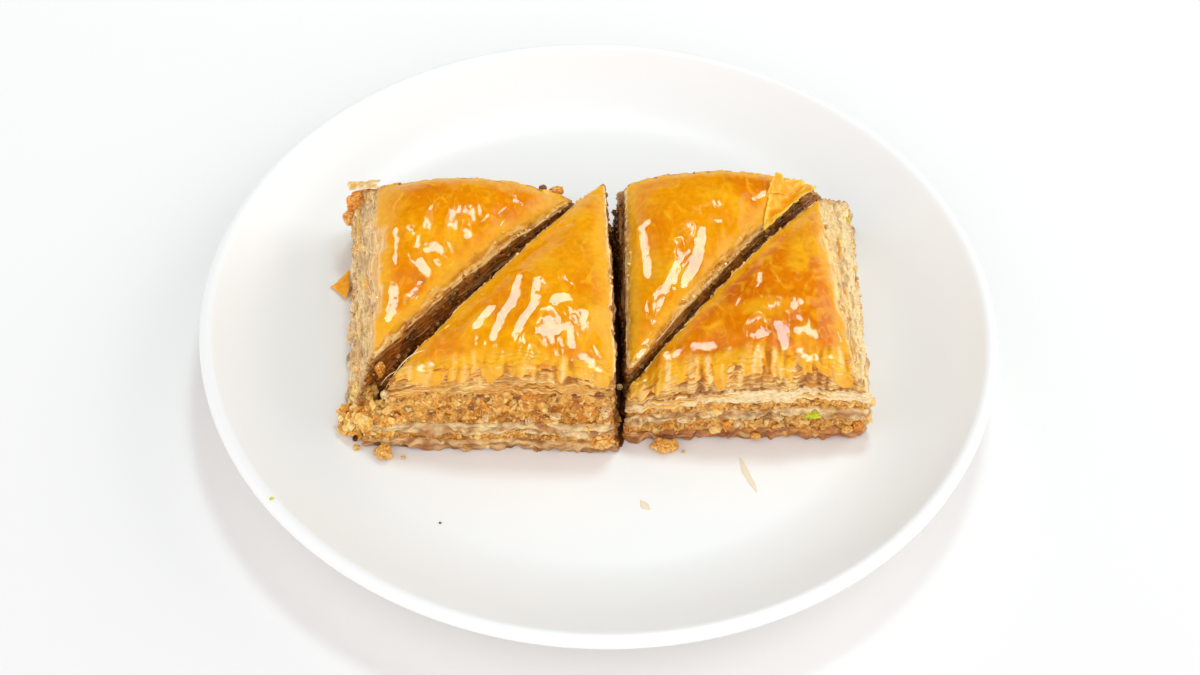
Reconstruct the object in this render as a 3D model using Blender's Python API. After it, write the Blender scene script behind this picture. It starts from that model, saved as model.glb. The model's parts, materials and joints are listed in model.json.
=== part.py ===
"""Walnut baklava on a coupe plate. Two squares are each cut corner to corner, which gives four triangles.

Metres, +Z up. The origin is the middle of the plate's foot, on the table.
Each triangle is a stack of five layers, from the plate up: base pastry, lower walnuts, middle pastry,
upper walnuts and the crisp glazed crust.
"""

import math
from dataclasses import dataclass

import bmesh
import bpy
from mathutils import Vector, noise

MM = 0.001

# The plate is a porcelain shell of even thickness with a rounded lip.
PLATE_RADIUS = 100 * MM
PLATE_HEIGHT = 20 * MM
PLATE_WALL = 3.8 * MM
FLOOR_TOP = 7 * MM
WELL_RADIUS = 71 * MM
FOOT_RADIUS = 56 * MM
FOOT_WIDTH = 4.5 * MM
FOOT_FILLET = 0.8 * MM
PLATE_SEGMENTS = 64
WALL_STEPS = 5
LIP_STEPS = 5

# Solids that rest on each other keep this gap.
GAP = 0.3 * MM

# The layers' meshes: points along each edge of a triangle, how much of its ends the corners lose, and how
# far out the rings of the crust's upper face lie.
EDGE_POINTS = 13
CORNER_TRIM = 0.02
CRUST_RINGS = (0.94, 0.84, 0.68, 0.46, 0.22)

# Relief of the layers.
FILLING_ARCH = 0.3
LAYER_WAVE = 0.35 * MM
LAYER_WAVE_LENGTH = 22 * MM
NUT_RELIEF = 0.5 * MM
PASTRY_RELIEF = 0.25 * MM
CRUST_LEAVES = 4
LEAF_STEP = 0.35 * MM
CRIMP_LENGTH = 4.6 * MM
CRIMP_DEPTH = 0.45 * MM
WRINKLE_HEIGHT = 0.45 * MM
WRINKLE_LENGTH = 11 * MM

COLOURS = {
    "porcelain": ((0.88, 0.87, 0.84), 0.12),
    "glazed_crust": ((0.78, 0.36, 0.04), 0.18),
    "soaked_pastry": ((0.62, 0.43, 0.20), 0.35),
    "walnut_filling": ((0.45, 0.27, 0.11), 0.60),
    "walnut_kernel": ((0.72, 0.45, 0.14), 0.45),
    "pale_leaf": ((0.86, 0.58, 0.20), 0.35),
}


@dataclass(frozen=True)
class Triangle:
    """One cut piece, in millimetres. Heights are over the plate's floor.

    The corners run counter-clockwise: the square corner, the far end of the side edge, and the far end of
    the front or back edge. They are given where the piece stands on the plate, under the crust and at the
    crust's upper edge. The arches are how far the three edges of the crust bulge up between corners.
    The shares are how much of the filling's height lies under each of its three inner faces.
    """

    name: str
    base: tuple
    shoulder: tuple
    crust: tuple
    arches: tuple
    dome: float
    shares: tuple


TRIANGLES = (
    Triangle(
        name="front_left",
        base=((5.6, -38.8), (0.6, 35.0), (-57.5, -40.4)),
        shoulder=((4.4, -36.6, 19.5), (0.1, 33.5, 18.0), (-50.5, -37.0, 15.5)),
        crust=((4.0, -35.0, 24.0), (-0.4, 32.8, 22.0), (-49.1, -34.9, 20.0)),
        arches=(3.0, 3.0, 4.5),
        dome=3.5,
        shares=(0.17, 0.27, 0.47),
    ),
    Triangle(
        name="back_left",
        base=((-66.8, 32.5), (-60.3, -37.5), (-6.0, 31.8)),
        shoulder=((-66.0, 30.3, 16.5), (-57.0, -33.5, 11.0), (-7.2, 29.6, 15.0)),
        crust=((-59.2, 26.5, 22.0), (-54.8, -27.2, 18.0), (-8.0, 27.8, 20.0)),
        arches=(2.8, 3.0, 6.0),
        dome=3.5,
        shares=(0.18, 0.48, 0.70),
    ),
    Triangle(
        name="front_right",
        base=((67.5, -30.4), (67.8, 39.6), (6.1, -35.0)),
        shoulder=((66.2, -30.3, 13.0), (64.6, 37.3, 13.5), (6.5, -34.2, 9.5)),
        crust=((61.8, -28.0, 20.0), (55.8, 30.2, 22.2), (6.9, -31.8, 14.2)),
        arches=(2.0, 5.0, 6.5),
        dome=3.5,
        shares=(0.26, 0.55, 0.80),
    ),
    Triangle(
        name="back_right",
        base=((3.0, 38.5), (7.4, -28.5), (61.0, 40.3)),
        shoulder=((3.2, 35.5, 14.5), (7.2, -28.1, 12.5), (57.5, 38.6, 14.5)),
        crust=((5.5, 33.8, 20.5), (7.2, -27.6, 17.5), (53.0, 36.6, 20.5)),
        arches=(1.5, 2.2, 5.0),
        dome=3.5,
        shares=(0.18, 0.50, 0.74),
    ),
)


@dataclass(frozen=True)
class Layer:
    """One layer of the filling: how far its side is set back, how rough it is, and what it is made of."""

    name: str
    set_back: float
    relief: float
    finish: str


LAYERS = (
    Layer("base_pastry", 0.0, PASTRY_RELIEF, "soaked_pastry"),
    Layer("lower_walnuts", 0.35 * MM, NUT_RELIEF, "walnut_filling"),
    Layer("middle_pastry", 0.1 * MM, PASTRY_RELIEF, "soaked_pastry"),
    Layer("upper_walnuts", 0.35 * MM, NUT_RELIEF, "walnut_filling"),
)

# The leaf torn over the back right triangle's sharp corner: each corner in plan, and its lift over the crust.
TORN_LEAF = (
    ((41.3, 17.8), 0.6),
    ((54.6, 34.2), 0.7),
    ((52.0, 36.6), 0.7),
    ((44.6, 32.6), 2.2),
)
TORN_LEAF_THICKNESS = 0.5 * MM

# The flake fallen beside the back left triangle: each corner in plan, and its lift over the plate.
STRAY_FLAKE = (
    ((-70.8, 11.0), 0.3),
    ((-66.2, 6.8), 0.6),
    ((-66.0, 9.8), 1.4),
    ((-66.6, 14.8), 2.4),
)
STRAY_FLAKE_THICKNESS = 0.6 * MM

# Loose walnut bits on the plate: the middle in plan, and half sizes.
WALNUT_BITS = {
    "walnut_bit_left": ((-50.6, -42.9), (2.6, 1.9, 2.3)),
    "walnut_bit_right": ((17.2, -37.2), (3.2, 2.1, 2.2)),
}


def clear_scene():
    for found in list(bpy.data.objects):
        bpy.data.objects.remove(found)


def material(name):
    """The named material, made the first time it is asked for."""
    made = bpy.data.materials.get(name)
    if made is None:
        made = bpy.data.materials.new(name)
        made.use_nodes = True
        colour, roughness = COLOURS[name]
        shader = made.node_tree.nodes["Principled BSDF"]
        shader.inputs["Base Color"].default_value = (*colour, 1.0)
        shader.inputs["Roughness"].default_value = roughness
        shader.inputs["Metallic"].default_value = 0.0
    return made


def add_object(name, points, faces, finish, sharp_angle):
    mesh = bpy.data.meshes.new(name)
    mesh.from_pydata(points, [], faces)
    mesh.validate()
    mesh.shade_smooth()
    mesh.set_sharp_from_angle(angle=math.radians(sharp_angle))
    made = bpy.data.objects.new(name, mesh)
    made.data.materials.append(material(finish))
    bpy.context.scene.collection.objects.link(made)
    return made


def stacked_rings(rings, first, last):
    """A closed shape from rings of equal length, with a fan to a point at each end.

    The rings run counter-clockwise seen from above, from the underside's middle out, up the side and in
    to the upper face's middle.
    """
    count = len(rings[0])
    points = [first] + [point for ring in rings for point in ring] + [last]
    faces = []
    for i in range(count):
        after = (i + 1) % count
        faces.append((0, 1 + after, 1 + i))
        for k in range(len(rings) - 1):
            low, high = 1 + k * count, 1 + (k + 1) * count
            faces.append((low + i, low + after, high + after))
            faces.append((low + i, high + after, high + i))
        top = 1 + (len(rings) - 1) * count
        faces.append((top + i, top + after, len(points) - 1))
    return points, faces


def well_curve():
    """The angle at the lip and the radius of the wall's middle line, from the plate's named sizes."""
    reach = PLATE_RADIUS - PLATE_WALL / 2 - WELL_RADIUS
    rise = PLATE_HEIGHT - FLOOR_TOP
    angle = 2 * math.atan2(rise, reach)
    return angle, reach / math.sin(angle)


def floor_height(point):
    """The height of the plate's upper face, which is flat as far as the well's radius and then curves up."""
    inner = well_curve()[1] - PLATE_WALL / 2
    out = max(0.0, math.hypot(point.x, point.y) - WELL_RADIUS)
    return FLOOR_TOP + inner - math.sqrt(inner**2 - out**2)


def build_plate():
    """The shell is turned from its outline: underside, foot, outer wall, lip, inner wall and floor."""
    angle, middle = well_curve()
    inner, outer = middle - PLATE_WALL / 2, middle + PLATE_WALL / 2
    centre_z = FLOOR_TOP + inner
    underside = FLOOR_TOP - PLATE_WALL
    foot_in = FOOT_RADIUS - FOOT_WIDTH
    outline = [
        (foot_in - FOOT_FILLET, underside),
        (foot_in, underside - FOOT_FILLET),
        (foot_in + FOOT_FILLET, 0.0),
        (FOOT_RADIUS - FOOT_FILLET, 0.0),
        (FOOT_RADIUS, FOOT_FILLET),
        (FOOT_RADIUS, underside - FOOT_FILLET),
        (FOOT_RADIUS + FOOT_FILLET, underside),
    ]
    for k in range(WALL_STEPS + 1):
        turn = angle * k / WALL_STEPS
        outline.append((WELL_RADIUS + outer * math.sin(turn), centre_z - outer * math.cos(turn)))
    lip_r, lip_z = WELL_RADIUS + middle * math.sin(angle), centre_z - middle * math.cos(angle)
    for k in range(1, LIP_STEPS):
        turn = angle - math.pi / 2 + math.pi * k / LIP_STEPS
        outline.append((lip_r + PLATE_WALL / 2 * math.cos(turn), lip_z + PLATE_WALL / 2 * math.sin(turn)))
    for k in range(WALL_STEPS, -1, -1):
        turn = angle * k / WALL_STEPS
        outline.append((WELL_RADIUS + inner * math.sin(turn), centre_z - inner * math.cos(turn)))
    turns = [2 * math.pi * i / PLATE_SEGMENTS for i in range(PLATE_SEGMENTS)]
    rings = [
        [(radius * math.cos(turn), radius * math.sin(turn), height) for turn in turns]
        for radius, height in outline
    ]
    points, faces = stacked_rings(rings, (0, 0, underside), (0, 0, FLOOR_TOP))
    return add_object("plate", points, faces, "porcelain", 40)


def inset_corners(corners, inset):
    """The corners of the triangle whose edges all lie inside the given ones by the inset."""
    lines = []
    for k in range(3):
        along = (corners[(k + 1) % 3] - corners[k]).normalized()
        lines.append((corners[k] + Vector((-along.y, along.x)) * inset, along))
    moved = []
    for k in range(3):
        (start, along), (other, across) = lines[k - 1], lines[k]
        moved.append(start + along * ((other - start).cross(across) / along.cross(across)))
    return moved


def outline_weights():
    """The points round a triangle as shares of its three corners. The corners themselves are cut off."""
    weights = []
    for edge in range(3):
        for i in range(EDGE_POINTS):
            along = CORNER_TRIM + (1 - 2 * CORNER_TRIM) * i / (EDGE_POINTS - 1)
            point = [0.0, 0.0, 0.0]
            point[edge], point[(edge + 1) % 3] = 1 - along, along
            weights.append(tuple(point))
    return weights


CENTRE = (1 / 3, 1 / 3, 1 / 3)
OUTLINE = outline_weights()


def weights_at(point, corners):
    """A point of the plan as shares of the three corners, kept inside the triangle."""
    a, b, c = corners
    whole = (b - a).cross(c - a)
    shares = [(b - point).cross(c - point), (c - point).cross(a - point), (a - point).cross(b - point)]
    shares = [max(0.0, share / whole) for share in shares]
    return [share / sum(shares) for share in shares]


def blend(weights, values):
    total = values[0] * weights[0]
    for weight, value in zip(weights[1:], values[1:]):
        total = total + value * weight
    return total


def arch(weights, arches):
    """How far a surface bulges up between corners. Each arch is the rise halfway along one edge."""
    return sum(4 * arches[k] * weights[k] * weights[(k + 1) % 3] for k in range(3)) * MM


class Stack:
    """One triangle's layers, as surfaces and outlines in shares of its corners."""

    def __init__(self, triangle):
        self.triangle = triangle
        self.base = [Vector(corner) * MM for corner in triangle.base]
        self.shoulder = [Vector(corner[:2]) * MM for corner in triangle.shoulder]
        self.crust = [Vector(corner[:2]) * MM for corner in triangle.crust]
        self.shoulder_heights = [corner[2] * MM for corner in triangle.shoulder]
        self.crust_heights = [corner[2] * MM for corner in triangle.crust]
        self.seed = 10.0 * TRIANGLES.index(triangle)

    def filling_height(self, weights, share):
        """The height of a face inside the filling. A share of 1 is the face under the crust."""
        full = blend(weights, self.shoulder_heights) + FILLING_ARCH * arch(weights, self.triangle.arches)
        wave = noise.noise(Vector((*(blend(weights, self.base) / LAYER_WAVE_LENGTH), self.seed + 9 * share)))
        return FLOOR_TOP + share * full + LAYER_WAVE * wave

    def crust_height(self, weights):
        """The height of the crust's upper face, which puffs up from its edge."""
        depth = 3 * min(weights)
        plan = blend(weights, self.crust)
        rise = self.triangle.dome * MM * (1 - (1 - depth) ** 2.4)
        fold = noise.noise(Vector((*(plan / WRINKLE_LENGTH), self.seed)))
        even = blend(weights, self.crust_heights) + arch(weights, self.triangle.arches)
        return FLOOR_TOP + even + rise + WRINKLE_HEIGHT * fold * min(1.0, 3 * depth)

    def side_ring(self, lower, upper, share, set_back, relief, number):
        """The outline between two levels' corners, set back and roughened by the relief."""
        corners = [low.lerp(high, share) for low, high in zip(lower, upper)]
        corners = inset_corners(corners, set_back)
        middle = blend(CENTRE, corners)
        ring = []
        for i, weights in enumerate(OUTLINE):
            point = blend(weights, corners)
            rough = noise.noise(Vector((0.7 * i, 3.1 * number, self.seed)))
            ring.append(point + (middle - point).normalized() * relief * (1 + rough))
        return ring

    def build_filling(self, index, layer):
        """One of the four lower layers: a slab between two faces of the filling, with a rough side."""
        levels = (0.0, *self.triangle.shares, 1.0)
        low, high = levels[index], levels[index + 1]

        def height(weights, plan, share):
            under = self.filling_height(weights, low) + GAP / 2
            if index == 0:
                under = floor_height(plan) + GAP
            over = self.filling_height(weights, high) - GAP / 2
            return under + (over - under) * share

        rings = []
        for number, (share, tuck) in enumerate(((0.0, 0.2 * MM), (0.5, 0.0), (1.0, 0.2 * MM))):
            level = low + (high - low) * share
            ring = self.side_ring(
                self.base, self.shoulder, level, layer.set_back + tuck, layer.relief, 5 * index + number
            )
            rings.append([(*plan, height(weights, plan, share)) for weights, plan in zip(OUTLINE, ring)])
        ends = []
        for level, share in ((low, 0.0), (high, 1.0)):
            plan = blend(CENTRE, self.base).lerp(blend(CENTRE, self.shoulder), level)
            ends.append((*plan, height(CENTRE, plan, share)))
        points, faces = stacked_rings(rings, *ends)
        return add_object(f"{self.triangle.name}_{layer.name}", points, faces, layer.finish, 35)

    def crimp(self, weights):
        """How far the leaves are pressed up or down along the side, which shows as upright ripples."""
        start, end = [k for k in range(3) if weights[k] > 0]
        travelled = weights[end] * (self.base[end] - self.base[start]).length
        return CRIMP_DEPTH * math.sin(2 * math.pi * travelled / CRIMP_LENGTH + start)

    def build_crust(self):
        """The glazed crust: leaves that step back one above another, and a puffed upper face."""

        def under(weights):
            return self.filling_height(weights, 1.0) + GAP / 2

        rings = []
        for leaf in range(CRUST_LEAVES):
            for part in (0.0, 0.8):
                share = (leaf + part) / CRUST_LEAVES
                ring = self.side_ring(
                    self.shoulder, self.crust, share, LEAF_STEP * (part == 0), PASTRY_RELIEF, 40 + leaf
                )
                heights = []
                for weights in OUTLINE:
                    rise = (self.crust_height(weights) - under(weights)) * share
                    heights.append(under(weights) + rise + self.crimp(weights) * math.sin(math.pi * share))
                rings.append([(*plan, height) for plan, height in zip(ring, heights)])
        edge = self.side_ring(self.shoulder, self.crust, 1.0, 0.0, PASTRY_RELIEF, 40 + CRUST_LEAVES)
        rings.append([(*plan, self.crust_height(weights)) for weights, plan in zip(OUTLINE, edge)])
        middle = blend(CENTRE, self.crust)
        for scale in CRUST_RINGS:
            ring = []
            for weights, plan in zip(OUTLINE, edge):
                inner = [1 / 3 + scale * (weight - 1 / 3) for weight in weights]
                ring.append((*middle.lerp(plan, scale), self.crust_height(inner)))
            rings.append(ring)
        first = (*blend(CENTRE, self.shoulder), under(CENTRE))
        points, faces = stacked_rings(rings, first, (*middle, self.crust_height(CENTRE)))
        return add_object(f"{self.triangle.name}_crust", points, faces, "glazed_crust", 35)

    def build(self):
        for index, layer in enumerate(LAYERS):
            self.build_filling(index, layer)
        self.build_crust()


def build_leaf(name, corners, ground, thickness, finish, steps=5):
    """A torn leaf of pastry: a rippled sheet of even thickness between four corners, over a surface."""
    lows, tops = [], []
    for i in range(steps + 1):
        for j in range(steps + 1):
            u, v = i / steps, j / steps
            shares = ((1 - u) * (1 - v), u * (1 - v), u * v, (1 - u) * v)
            plan = blend(shares, [Vector(corner) * MM for corner, _ in corners])
            lift = blend(shares, [height * MM for _, height in corners])
            ripple = 0.2 * MM * math.sin(8 * u + 3 * v) * math.sin(math.pi * u)
            height = ground(plan) + lift + ripple
            lows.append((*plan, height))
            tops.append((*plan, height + thickness))
    width = steps + 1
    over = width * width
    faces = []
    for i in range(steps):
        for j in range(steps):
            a, b = i * width + j, (i + 1) * width + j
            c, d = b + 1, a + 1
            faces += [(a, c, b), (a, d, c), (over + a, over + b, over + c), (over + a, over + c, over + d)]
    border = [i * width for i in range(width)]
    border += [steps * width + j for j in range(1, width)]
    border += [i * width + steps for i in range(steps - 1, -1, -1)]
    border += list(range(steps - 1, 0, -1))
    for a, b in zip(border, border[1:] + border[:1]):
        faces += [(a, b, over + b), (a, over + b, over + a)]
    return add_object(name, lows + tops, faces, finish, 35)


def build_walnut_bit(name, middle, half_sizes):
    """A broken walnut kernel: a faceted lump with a flat underside just over the plate."""
    shape = bmesh.new()
    bmesh.ops.create_icosphere(shape, subdivisions=2, radius=1.0)
    ground = FLOOR_TOP + GAP
    centre = Vector((middle[0] * MM, middle[1] * MM, ground + half_sizes[2] * MM * 0.8))
    for vertex in shape.verts:
        rough = 1 + 0.28 * noise.noise(vertex.co * 1.9 + centre / MM)
        stretched = Vector([axis * size for axis, size in zip(vertex.co, half_sizes)])
        vertex.co = centre + stretched * MM * rough
        vertex.co.z = max(vertex.co.z, ground)
    points = [tuple(vertex.co) for vertex in shape.verts]
    faces = [tuple(vertex.index for vertex in face.verts) for face in shape.faces]
    shape.free()
    return add_object(name, points, faces, "walnut_kernel", 25)


def main():
    clear_scene()
    build_plate()
    stacks = [Stack(triangle) for triangle in TRIANGLES]
    for stack in stacks:
        stack.build()
    torn = stacks[-1]
    build_leaf(
        "torn_leaf",
        TORN_LEAF,
        lambda plan: torn.crust_height(weights_at(plan, torn.crust)),
        TORN_LEAF_THICKNESS,
        "pale_leaf",
    )
    build_leaf("stray_flake", STRAY_FLAKE, floor_height, STRAY_FLAKE_THICKNESS, "glazed_crust")
    for name, (middle, half_sizes) in WALNUT_BITS.items():
        build_walnut_bit(name, middle, half_sizes)


main()
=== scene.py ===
"""Walnut baklava on a white coupe plate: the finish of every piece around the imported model.

Two squares of baklava are each cut corner to corner. Each triangle has soaked pastry at its foot and
middle, two beds of chopped walnuts, a stack of crisp leaves and a glazed upper leaf.
Lengths are in millimetres until a mesh is made, and Z is up. Heights of the food are over the plate's floor.
"""

import itertools
import json
import logging
import math
from dataclasses import dataclass, field
from enum import Enum
from typing import Any, Callable, Sequence

import bmesh
import bpy
import numpy as np
from bpy.types import Collection, Material, NodeSocket, NodeTree, Object
from mathutils import Matrix, Vector

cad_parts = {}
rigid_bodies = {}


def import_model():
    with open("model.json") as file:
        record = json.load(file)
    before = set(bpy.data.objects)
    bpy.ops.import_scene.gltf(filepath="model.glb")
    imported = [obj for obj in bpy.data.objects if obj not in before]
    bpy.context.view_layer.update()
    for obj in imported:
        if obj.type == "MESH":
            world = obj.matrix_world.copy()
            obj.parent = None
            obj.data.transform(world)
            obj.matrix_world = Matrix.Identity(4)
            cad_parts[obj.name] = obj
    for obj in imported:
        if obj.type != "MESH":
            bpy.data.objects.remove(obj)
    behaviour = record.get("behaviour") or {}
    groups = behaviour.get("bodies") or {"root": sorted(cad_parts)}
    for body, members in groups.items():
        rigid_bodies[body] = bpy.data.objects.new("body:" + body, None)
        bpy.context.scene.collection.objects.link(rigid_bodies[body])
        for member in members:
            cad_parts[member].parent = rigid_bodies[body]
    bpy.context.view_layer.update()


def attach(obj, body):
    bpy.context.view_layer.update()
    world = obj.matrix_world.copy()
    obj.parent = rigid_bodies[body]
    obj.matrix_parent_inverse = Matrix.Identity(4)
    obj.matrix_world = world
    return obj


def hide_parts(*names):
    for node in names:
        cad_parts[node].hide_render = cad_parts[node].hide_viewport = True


Array = np.ndarray
Pair = tuple[float, float]
Triple = tuple[float, float, float]
Codes = tuple[str, str, str]
Shape = tuple[Array, list[Array], Array]

LOG = logging.getLogger("baklava")
MM = 0.001
# The height of the plate's floor.
FLOOR = 7.0
TONE = "tone"
CRUMBS = "crumbs"
HOST_TINT = "stain"
TINY = 1e-9
# How strongly syrup bends light.
SYRUP_IOR = 1.48
# Square millimetres in a square metre.
SQUARE = 1e6
# How far the glazed leaf lies over the stack of crisp leaves.
SKIN = 0.35
# How far the random fields of two pieces, of two leaves and of two layers lie apart.
PER_PIECE, PER_LEAF, PER_BAND = 1.7, 3.37, 31
# Large odd numbers that scatter the cells of the random fields.
CELL_KEYS = np.array([374761393, 668265263, 1103515245])
# A leaf's edge from its underside up: the share of its thickness, and how far the gap reaches in there.
EDGE_PROFILE = ((0.0, 1.0), (0.2, 0.2), (0.55, 0.0), (0.88, 0.12))


def linear(code: str) -> Array:
    """Turns an sRGB hex value such as "E8950F" to linear red, green and blue.

    Args:
        code: six hexadecimal digits.

    Returns:
        The three linear values.
    """
    srgb = np.array([int(code[i : i + 2], 16) for i in (0, 2, 4)]) / 255
    return np.where(srgb <= 0.04045, srgb / 12.92, ((srgb + 0.055) / 1.055) ** 2.4)


def rgba(code: str) -> tuple[float, float, float, float]:
    """The hex value as the four numbers that a colour socket takes."""
    return (*(float(value) for value in linear(code)), 1.0)


def mix(first: Array, second: Array, share: Array | float) -> Array:
    """Goes from the first colour or place to the second, by one share or by one for each point."""
    share = np.asarray(share)
    return first + (second - first) * (share[:, None] if share.ndim == 1 else share)


def blend(base: Array, *layers: tuple[Array, Array | float]) -> Array:
    """Lays colours over a base one after another, each by its share."""
    for colour, share in layers:
        base = mix(base, colour, share)
    return base


def ease(value: Array, start: Array | float, end: Array | float) -> Array:
    """Rises smoothly from 0 at start to 1 at end."""
    share = np.clip((value - start) / (end - start), 0, 1)
    return share * share * (3 - 2 * share)


def grain(points: Array, seed: int) -> Array:
    """Smooth random field between about -1 and 1, whose features are about one unit across.

    Args:
        points: places, one row of three numbers each.
        seed: picks the field.

    Returns:
        One value for each point.
    """
    cell = np.floor(points).astype(np.int64)
    part = points - cell
    eased = part**3 * (part * (part * 6 - 15) + 10)
    total = np.zeros(len(points))
    for corner in itertools.product((0, 1), repeat=3):
        step = np.array(corner)
        at = cell + step
        mixed = at @ CELL_KEYS + seed * 97531
        mixed &= 0xFFFFFFFF
        mixed = ((mixed ^ (mixed >> 13)) * 1274126177) & 0xFFFFFFFF
        mixed ^= mixed >> 16
        slope = np.stack([mixed & 1023, (mixed >> 10) & 1023, (mixed >> 20) & 1023], axis=-1) / 511.5 - 1
        weight = np.prod(np.where(step, eased, 1 - eased), axis=-1)
        total += weight * ((part - step) * slope).sum(axis=-1)
    return total * 1.5


def field_at(plan: Array, size: float, layer: float | Array, seed: int) -> Array:
    """The random field over plan points, with features of the given size in millimetres."""
    return grain(np.column_stack([plan / size, np.broadcast_to(layer, len(plan))]), seed)


def unit(ways: Array, least: float = 0.0) -> Array:
    """Scales each direction to a length of 1. The least keeps a length of 0 from dividing by 0."""
    return ways / (np.linalg.norm(ways, axis=-1, keepdims=True) + least)


def linears(*codes: str) -> list[Array]:
    """Several sRGB hex values as linear colours."""
    return [linear(code) for code in codes]


def ridged(values: Array) -> Array:
    """Turns a smooth field to sharp crests, from 0 in the troughs to 1 on the crests."""
    return (1 - np.clip(np.abs(values), 0, 1)) ** 2


def outward(ways: Array) -> Array:
    """Turns plan directions to the right by a quarter."""
    return np.column_stack([ways[:, 1], -ways[:, 0]])


def show(name: str, data: Any) -> Object:
    """Puts a new object with the data in the scene."""
    made = bpy.data.objects.new(name, data)
    bpy.context.scene.collection.objects.link(made)
    return made


def make_mesh(
    name: str, points: Array, groups: Sequence[Array], tones: Array | None = None,
    sticky: Array | None = None,
) -> Object:
    """Makes a smooth-shaded object from points in millimetres and arrays of faces.

    Args:
        name: the piece's name.
        points: one row for each vertex.
        groups: arrays of faces, one row for each face.
        tones: linear colour of each vertex, stored for the finish to read.
        sticky: for each vertex how thickly crumbs stick there and how far they take on its colour, stored for
            the scatter to read.

    Returns:
        The object, with its place in its mesh.
    """
    mesh = bpy.data.meshes.new(name)
    mesh.vertices.add(len(points))
    mesh.vertices.foreach_set("co", (points * MM).astype(np.float32).ravel())
    sizes = np.concatenate([np.full(len(group), group.shape[1]) for group in groups])
    mesh.loops.add(int(sizes.sum()))
    corners = np.concatenate([group.ravel() for group in groups])
    mesh.loops.foreach_set("vertex_index", corners.astype(np.int32))
    mesh.polygons.add(len(sizes))
    mesh.polygons.foreach_set("loop_start", (np.cumsum(sizes) - sizes).astype(np.int32))
    mesh.update(calc_edges=True)
    mesh.validate()
    mesh.shade_smooth()
    if tones is not None:
        stored = mesh.color_attributes.new(TONE, "FLOAT_COLOR", "POINT")
        colours = np.column_stack([tones, np.ones(len(tones))])
        stored.data.foreach_set("color", colours.astype(np.float32).ravel())
    if sticky is not None:
        for k, key in enumerate((CRUMBS, HOST_TINT)):
            stored = mesh.attributes.new(key, "FLOAT", "POINT")
            stored.data.foreach_set("value", sticky[:, k].astype(np.float32))
    return show(name, mesh)


def ring_solid(rings: Array, first: Array, last: Array) -> tuple[Array, list[Array]]:
    """Points and faces of a closed shape from stacked rings, with a fan at each end.

    Args:
        rings: an array of rings, points and coordinates. Rings run counter-clockwise seen from above.
        first: the middle of the underside.
        last: the middle of the upper face.

    Returns:
        The points, and the arrays of four-sided and three-sided faces.
    """
    count, width = rings.shape[:2]
    points = np.vstack([rings.reshape(-1, 3), first, last])
    here = np.arange(width)
    after = (here + 1) % width
    low = np.arange(count - 1)[:, None] * width
    walls = [low + here, low + after, low + width + after, low + width + here]
    walls = np.stack(walls, axis=-1).reshape(-1, 4)
    top = (count - 1) * width
    under = np.stack([np.full(width, count * width), after, here], axis=-1)
    over = np.stack([np.full(width, count * width + 1), top + here, top + after], axis=-1)
    return points, [walls, np.vstack([under, over])]


def sheet_faces(rows: int, width: int) -> list[Array]:
    """The faces of a closed sheet whose upper points come first and whose lower points follow, row by row."""
    cell = (np.arange(rows - 1)[:, None] * width + np.arange(width - 1)).ravel()
    over = np.column_stack([cell, cell + 1, cell + width + 1, cell + width])
    far, side = rows * width - 1, np.arange(rows - 1) * width
    rim = np.concatenate(
        [np.arange(width - 1), side + width - 1, far - np.arange(width - 1), side[::-1] + width]
    )
    walls = np.column_stack([rim, rim + far + 1, np.roll(rim, -1) + far + 1, np.roll(rim, -1)])
    return [over, (over + far + 1)[:, ::-1], walls]


def join(parts: list[Shape]) -> Shape:
    """Joins shapes, each with its points, arrays of faces and tones, to one."""
    points, groups, tones, start = [], [], [], 0
    for part, faces, shades in parts:
        points.append(part)
        groups.extend(group + start for group in faces)
        tones.append(shades)
        start += len(part)
    return np.vstack(points), groups, np.vstack(tones)


def dress(made: Object, finish: "Finish", slot: str, *nodes: str) -> Object:
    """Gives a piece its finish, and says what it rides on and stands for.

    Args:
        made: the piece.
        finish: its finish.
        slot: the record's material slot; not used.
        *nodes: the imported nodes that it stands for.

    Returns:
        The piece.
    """
    made.data.materials.clear()
    made.data.materials.append(finish.build())
    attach(made, "root")
    if nodes:
        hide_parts(*nodes)
    LOG.info("%s: %d faces", made.name, len(made.data.polygons))
    return made


def add_node(tree: NodeTree, kind: str, settings: dict[str, Any] | None = None, **inputs: Any) -> Any:
    """Adds a node to a tree.

    Args:
        tree: the tree.
        kind: Blender's name of the node's type.
        settings: the node's own properties.
        **inputs: a value or a socket for each input. Underscores stand for spaces, and i0, i1 and so on
            for inputs by number.

    Returns:
        The node.
    """
    made = tree.nodes.new(kind)
    for key, value in (settings or {}).items():
        setattr(made, key, value)
    for key, value in inputs.items():
        by_number = key[0] == "i" and key[1:].isdigit()
        socket = made.inputs[int(key[1:]) if by_number else key.replace("_", " ")]
        if isinstance(value, NodeSocket):
            tree.links.new(value, socket)
        else:
            socket.default_value = value
    return made


class Grade(Enum):
    """How a finish takes its colour."""

    PLAIN = "one colour"
    TONED = "the tones stored on the mesh"


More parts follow.
